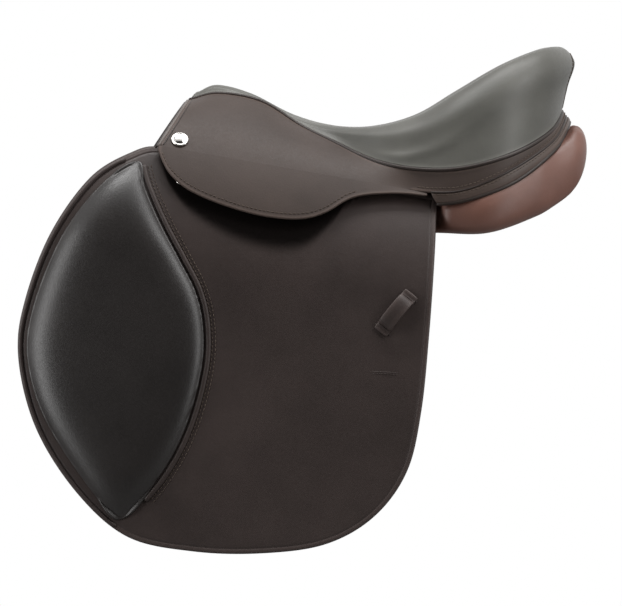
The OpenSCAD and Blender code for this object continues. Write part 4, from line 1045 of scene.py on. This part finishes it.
def panel_row(x, small, push=0.0):
    """A section of the panel. It lies against the sweat flap in front and is free behind it."""
    k = curve(PANEL, x)
    s = panel_shear(x)
    free = eased((x - 64) / 26)

    def outer(z, wide):
        return np.array([panel_face(x - s * (LEAN_TOP - z), z) * (1 - free) + wide * free, z])

    a = outer(k[0], k[5])
    o = outer(k[0] * 0.55 + k[1] * 0.45, k[4] + 3)
    b = outer(k[1], k[4] - 3)
    e = np.array([CHANNEL_HALF, k[3]])
    f = np.array([CHANNEL_HALF, k[2]])
    ring = soft_loop([a, o, b, (b + f) / 2 - [0, 7], f, e, (e + a) / 2], 70)
    q = ring.mean(0) + (ring - ring.mean(0)) * small
    return np.stack([x - s * (LEAN_TOP - q[:, 1]) + push, -q[:, 0], q[:, 1]], -1)


panel_rows = []
for angle in np.linspace(0.05, 1, 8)[:-1] * math.pi / 2:
    panel_rows.append(panel_row(PANEL_FRONT, 0.55 + 0.31 * math.sin(angle), -6 * math.cos(angle)))
for x in np.concatenate([[-232, -229, -226], np.linspace(-220, PANEL_END, 80)]):
    panel_rows.append(panel_row(float(x), PANEL_SMALL + (1 - PANEL_SMALL) * min(1, (x - PANEL_FRONT) / 6)))
for angle in np.radians(np.linspace(0, 86, 22)[1:]):
    panel_rows.append(panel_row(PANEL_END + PANEL_CAP * math.sin(angle), math.cos(angle)))
both("panel", loft(panel_rows), panel_hide, "saddle")

# Facing round the rear of the panels, with its piping and stitches
FOOT = (KEYS[6:], closed_line([(58, -136, 31), (110, -147, 37), (166, -133, 58), (212, -86, 94),
                               (228, 0, 122.5)]))
face_u = np.linspace(6.4, LAST_KEY, 100)
face_low = curve(FOOT, face_u)
face_high = hem_at(face_u)
face_turn = key_change(lambda s: curve(FOOT, s), face_u)
face_in = np.stack([-face_turn[:, 1], face_turn[:, 0], 0 * face_turn[:, 0]], -1)
face_in[-1] = (-1, 0, 0)
face_in = unit(face_in)
face_v = np.linspace(0.08, 0.94, 14)
face_swell = 1.4 * np.sin(np.linspace(0, math.pi, 14))


def facing_grid(deep):
    half = between(face_high, face_low, face_v)
    return mirrored(half + face_in[:, None] * (deep - face_swell[None, :, None]))


def facing_line(share, deep):
    return face_high + (face_low - face_high) * share + face_in * deep


whole("rear_facing", grid_shell(facing_grid(0.6), facing_grid(3.6)), light_hide, ["rear_facing"])
whole("facing_piping", tube(mirrored(facing_line(0.06, 0.2)), 1.3, 10), edge_hide)
whole("panel_piping", tube(mirrored(facing_line(1, 1.6) - [0, 0, 1.9]), 2.0), edge_hide, ["panel_welt"])
whole("facing_stitches", stitches(mirrored(facing_line(0.3, -0.75)), mirrored(-face_in)), thread)

# Lining of the channel
LINING_HALF = 32.7
LINING_LEATHER = 2.5


def lining_grid(deep):
    w = LINING_HALF
    rows = []
    for x in np.linspace(-215, 225, 70):
        k = curve(PANEL, x)
        low = (k[2] + k[3]) / 2 - 2
        up = k[3]
        half = [(-w + deep, low), (-w + deep, up - 8), (-w * 0.82 + deep * 0.7, up - deep * 0.7),
                (-w * 0.4, up + 2 - deep), (0, up + 2.6 - deep)]
        line = np.array(half + [(-y, z) for y, z in half[-2::-1]], float)
        line = curve((np.arange(9.0), line), np.linspace(0, 8, 41))
        rows.append(np.stack([x - panel_shear(x) * (LEAN_TOP - line[:, 1]), line[:, 0], line[:, 1]], -1))
    return np.array(rows)


lining_data = grid_shell(lining_grid(0), lining_grid(LINING_LEATHER))
whole("channel_lining", lining_data, under_hide, ["channel_lining"])

# Facing over the front of the tree, on its leaning plane
LEAN = math.radians(30)
LEAN_X = -275
INTO_ARCH = np.array([math.cos(LEAN), 0, -math.sin(LEAN)])
ARCH_DEEP = 25
ARCH_OUT = [(0, 139), (18, 136), (38, 123), (56, 104), (70, 84)]
ARCH_IN = [(0, 114), (16, 111), (30, 101), (44, 86), (57, 70)]


def arch_line(points, grow):
    half = np.array(points, float) + [0, grow]
    line = np.concatenate([half[::-1] * [-1, 1], half[1:]])
    return curve((np.arange(9.0), line), np.linspace(0, 8, 81))


def on_lean(flat):
    """Points of the leaning plane at the given sides and heights."""
    return np.stack([LEAN_X + math.tan(LEAN) * flat[..., 1], flat[..., 0], flat[..., 1]], -1)


def arch_grid(start, rise_by, sink):
    flat = between(arch_line(ARCH_OUT, rise_by), arch_line(ARCH_IN, sink), np.linspace(0, 1, 10))
    return on_lean(flat) + INTO_ARCH * start


whole("pommel_facing", grid_shell(arch_grid(0.4, 3, 2), arch_grid(2.8, 3, 2)), edge_hide, ["pommel_facing"])
arch_edge = arch_grid(0.6, 3.4, 2)[:, 0]
whole("pommel_piping", tube(arch_edge, 1.9), light_hide)
whole("pommel_stitches", stitches(arch_grid(0.2, 3, 2)[:, 2], -INTO_ARCH), thread)

# Leather that closes the front between the arch and each skirt
ARCH_TOP = 40
GUSSET_ROWS = 38
gusset_out = (front_edge - front_norm * 2.5)[:GUSSET_ROWS][::-1]
gusset_in = arch_edge[ARCH_TOP - GUSSET_ROWS + 1:ARCH_TOP + 1]
strip_share = np.linspace(0, 1, 8)
strip_bow = np.sin(strip_share * math.pi)


def gusset_grid(deep):
    sink = 2.2 + deep + 3 * strip_bow
    return between(gusset_out, gusset_in, strip_share) + sink[None, :, None] * INTO_ARCH


both("front_gusset", grid_shell(gusset_grid(0), gusset_grid(1.5)), edge_hide, "saddle")

# Leather round the underside of the arch
under_line = arch_line(ARCH_IN, -0.8)
under_start = np.linspace(0.6, ARCH_DEEP, 8)


def under_grid(deep):
    return on_lean(under_line + [0, deep])[:, None] + under_start[None, :, None] * INTO_ARCH


whole("arch_lining", grid_shell(under_grid(-1.4), under_grid(0.2)), under_hide)

# End of the seat above the arch
nose_half = seat_at(np.array([0.03]), np.linspace(0, 0.97, 10)[None])[0]
nose_top = np.concatenate([nose_half[::-1], flip(nose_half[1:])])
nose_y = nose_top[:, 1]
nose_low = np.stack([np.full(len(nose_y), -191.5), 1.05 * nose_y, 140.5 - 0.02 * nose_y**2], -1)


def nose_grid(deep):
    rows = between(nose_top, nose_low, strip_share)
    rows[..., 0] += deep - 1.2 * strip_bow[None]
    return rows


whole("seat_nose", grid_shell(nose_grid(-0.3), nose_grid(1.2)), seat_hide)

# Straps and hidden soft pieces, from the frame with softened edges
for side, body, _ in SIDES:
    from_frame("billet_front_" + side, strap_hide, body + "_billet_front", 0.9)
    from_frame("billet_rear_" + side, strap_hide, body + "_billet_rear", 0.9)
    from_frame("girth_guard_" + side, strap_hide, body + "_guard", 1)
from_frame("seat_foam", foam_fill, "saddle", 0.8, 2)
for name in ("seat_web", "girth_web_front", "girth_web_rear"):
    from_frame(name, web_cloth, "saddle", 0.5)

# Finishes of the rigid frame pieces that show as they are
FINISHES = ((beech, ("tree_head", "tree_rail", "tree_cantle")),
            (spring_steel, ("head_plate", "gullet_plate", "tree_springs")),
            (nickel, ("tree_rivets", "stirrup_bar", "bar_catch", "catch_pin", "dee_staple")))
for name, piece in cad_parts.items():
    for coat, starts in FINISHES:
        if name.startswith(starts):
            for slot in piece.material_slots:
                slot.material = coat


# Camera
def look(obj, target):
    obj.rotation_euler = (Vector(target) - obj.location).to_track_quat("-Z", "Y").to_euler()


YAW = math.radians(0.6)
TILT = math.radians(0.6)
REACH = 30.0
SENSOR = 36
VIEW_WIDTH = 0.6842
target = Vector((-0.0594, -0.08, -0.0781))
camera = show("camera", bpy.data.cameras.new("camera"))
setting(camera.data, sensor_width=SENSOR, lens=SENSOR * REACH / VIEW_WIDTH, clip_end=200)
toward = Vector((-math.sin(YAW) * math.cos(TILT), -math.cos(YAW) * math.cos(TILT), math.sin(TILT)))
camera.location = target + toward * REACH
look(camera, target)
scene.camera = camera


# Lamps
def area_light(name, spot, aim, width, height, power):
    lamp = show(name, bpy.data.lights.new(name, "AREA"))
    setting(lamp.data, shape="RECTANGLE", size=width, size_y=height, energy=power)
    lamp.location = spot
    look(lamp, aim)


area_light("top_light", (-0.1, -0.12, 2.2), (-0.1, -0.12, 0), 2.4, 0.7, 52)
area_light("rear_light", (1.4, -1.1, 0.35), (0, 0, -0.05), 0.6, 1.4, 10)
area_light("front_light", (-1.8, -0.75, 0.15), (0, 0, -0.1), 0.7, 1.5, 16)
area_light("seat_light", (1.1, -0.9, 1.3), (0.15, 0, 0.1), 0.9, 0.8, 11)

# Floor, a dark card in front that only reflections and light meet, and the white studio
FLOOR_Z = -0.47
FLOOR_HALF = 4
CARD_HALF = 2.2
CARD_Y = -1.6
CARD_TOP = 2.1
STUDIO_LIGHT = 0.18


def stage_plane(name, corners, material):
    mesh = bpy.data.meshes.new(name)
    mesh.from_pydata(corners, [], [(0, 1, 2, 3)])
    mesh.materials.append(material)
    plane = show(name, mesh)
    return plane


floor_paint, skin, place = new_material("floor_paint")
feed(skin, {"Base Color": (0.25, 0.25, 0.25, 1), "Roughness": 0.9})
tree = floor_paint.node_tree
glow = add(tree, "ShaderNodeEmission", {"Color": (1, 1, 1, 1), "Strength": 1}, "Emission")
away = add(tree, "ShaderNodeVectorMath", {0: place}, "Value", operation="LENGTH")
seen = add(tree, "ShaderNodeLightPath", {}, "Is Camera Ray")
shares = {0: reckon("MULTIPLY", seen, spread(away, 0.8, 1, 0.3, 1.4)), 1: skin.outputs["BSDF"], 2: glow}
feed(tree.nodes["Material Output"], {"Surface": add(tree, "ShaderNodeMixShader", shares, "Shader")})
square = [(-1, -1), (1, -1), (1, 1), (-1, 1)]
stage_plane("floor", [(x * FLOOR_HALF, y * FLOOR_HALF, FLOOR_Z) for x, y in square], floor_paint)

card_paint, skin, _ = new_material("card_paint")
feed(skin, {"Base Color": (0.03, 0.03, 0.03, 1), "Roughness": 1})
card_corners = [(x * CARD_HALF, CARD_Y, FLOOR_Z if z < 0 else CARD_TOP) for x, z in square]
stage_plane("dark_card", card_corners, card_paint).visible_camera = False

world = bpy.data.worlds.new("studio")
scene.world = world
world.use_nodes = True
rays = world.node_tree.nodes.new("ShaderNodeLightPath").outputs
seen = reckon("MAXIMUM", rays["Is Camera Ray"], rays["Is Glossy Ray"])
seen = reckon("MAXIMUM", seen, rays["Is Transmission Ray"])
sky = {"Color": (1, 1, 1, 1), "Strength": spread(seen, STUDIO_LIGHT, 1)}
feed(world.node_tree.nodes["Background"], sky)
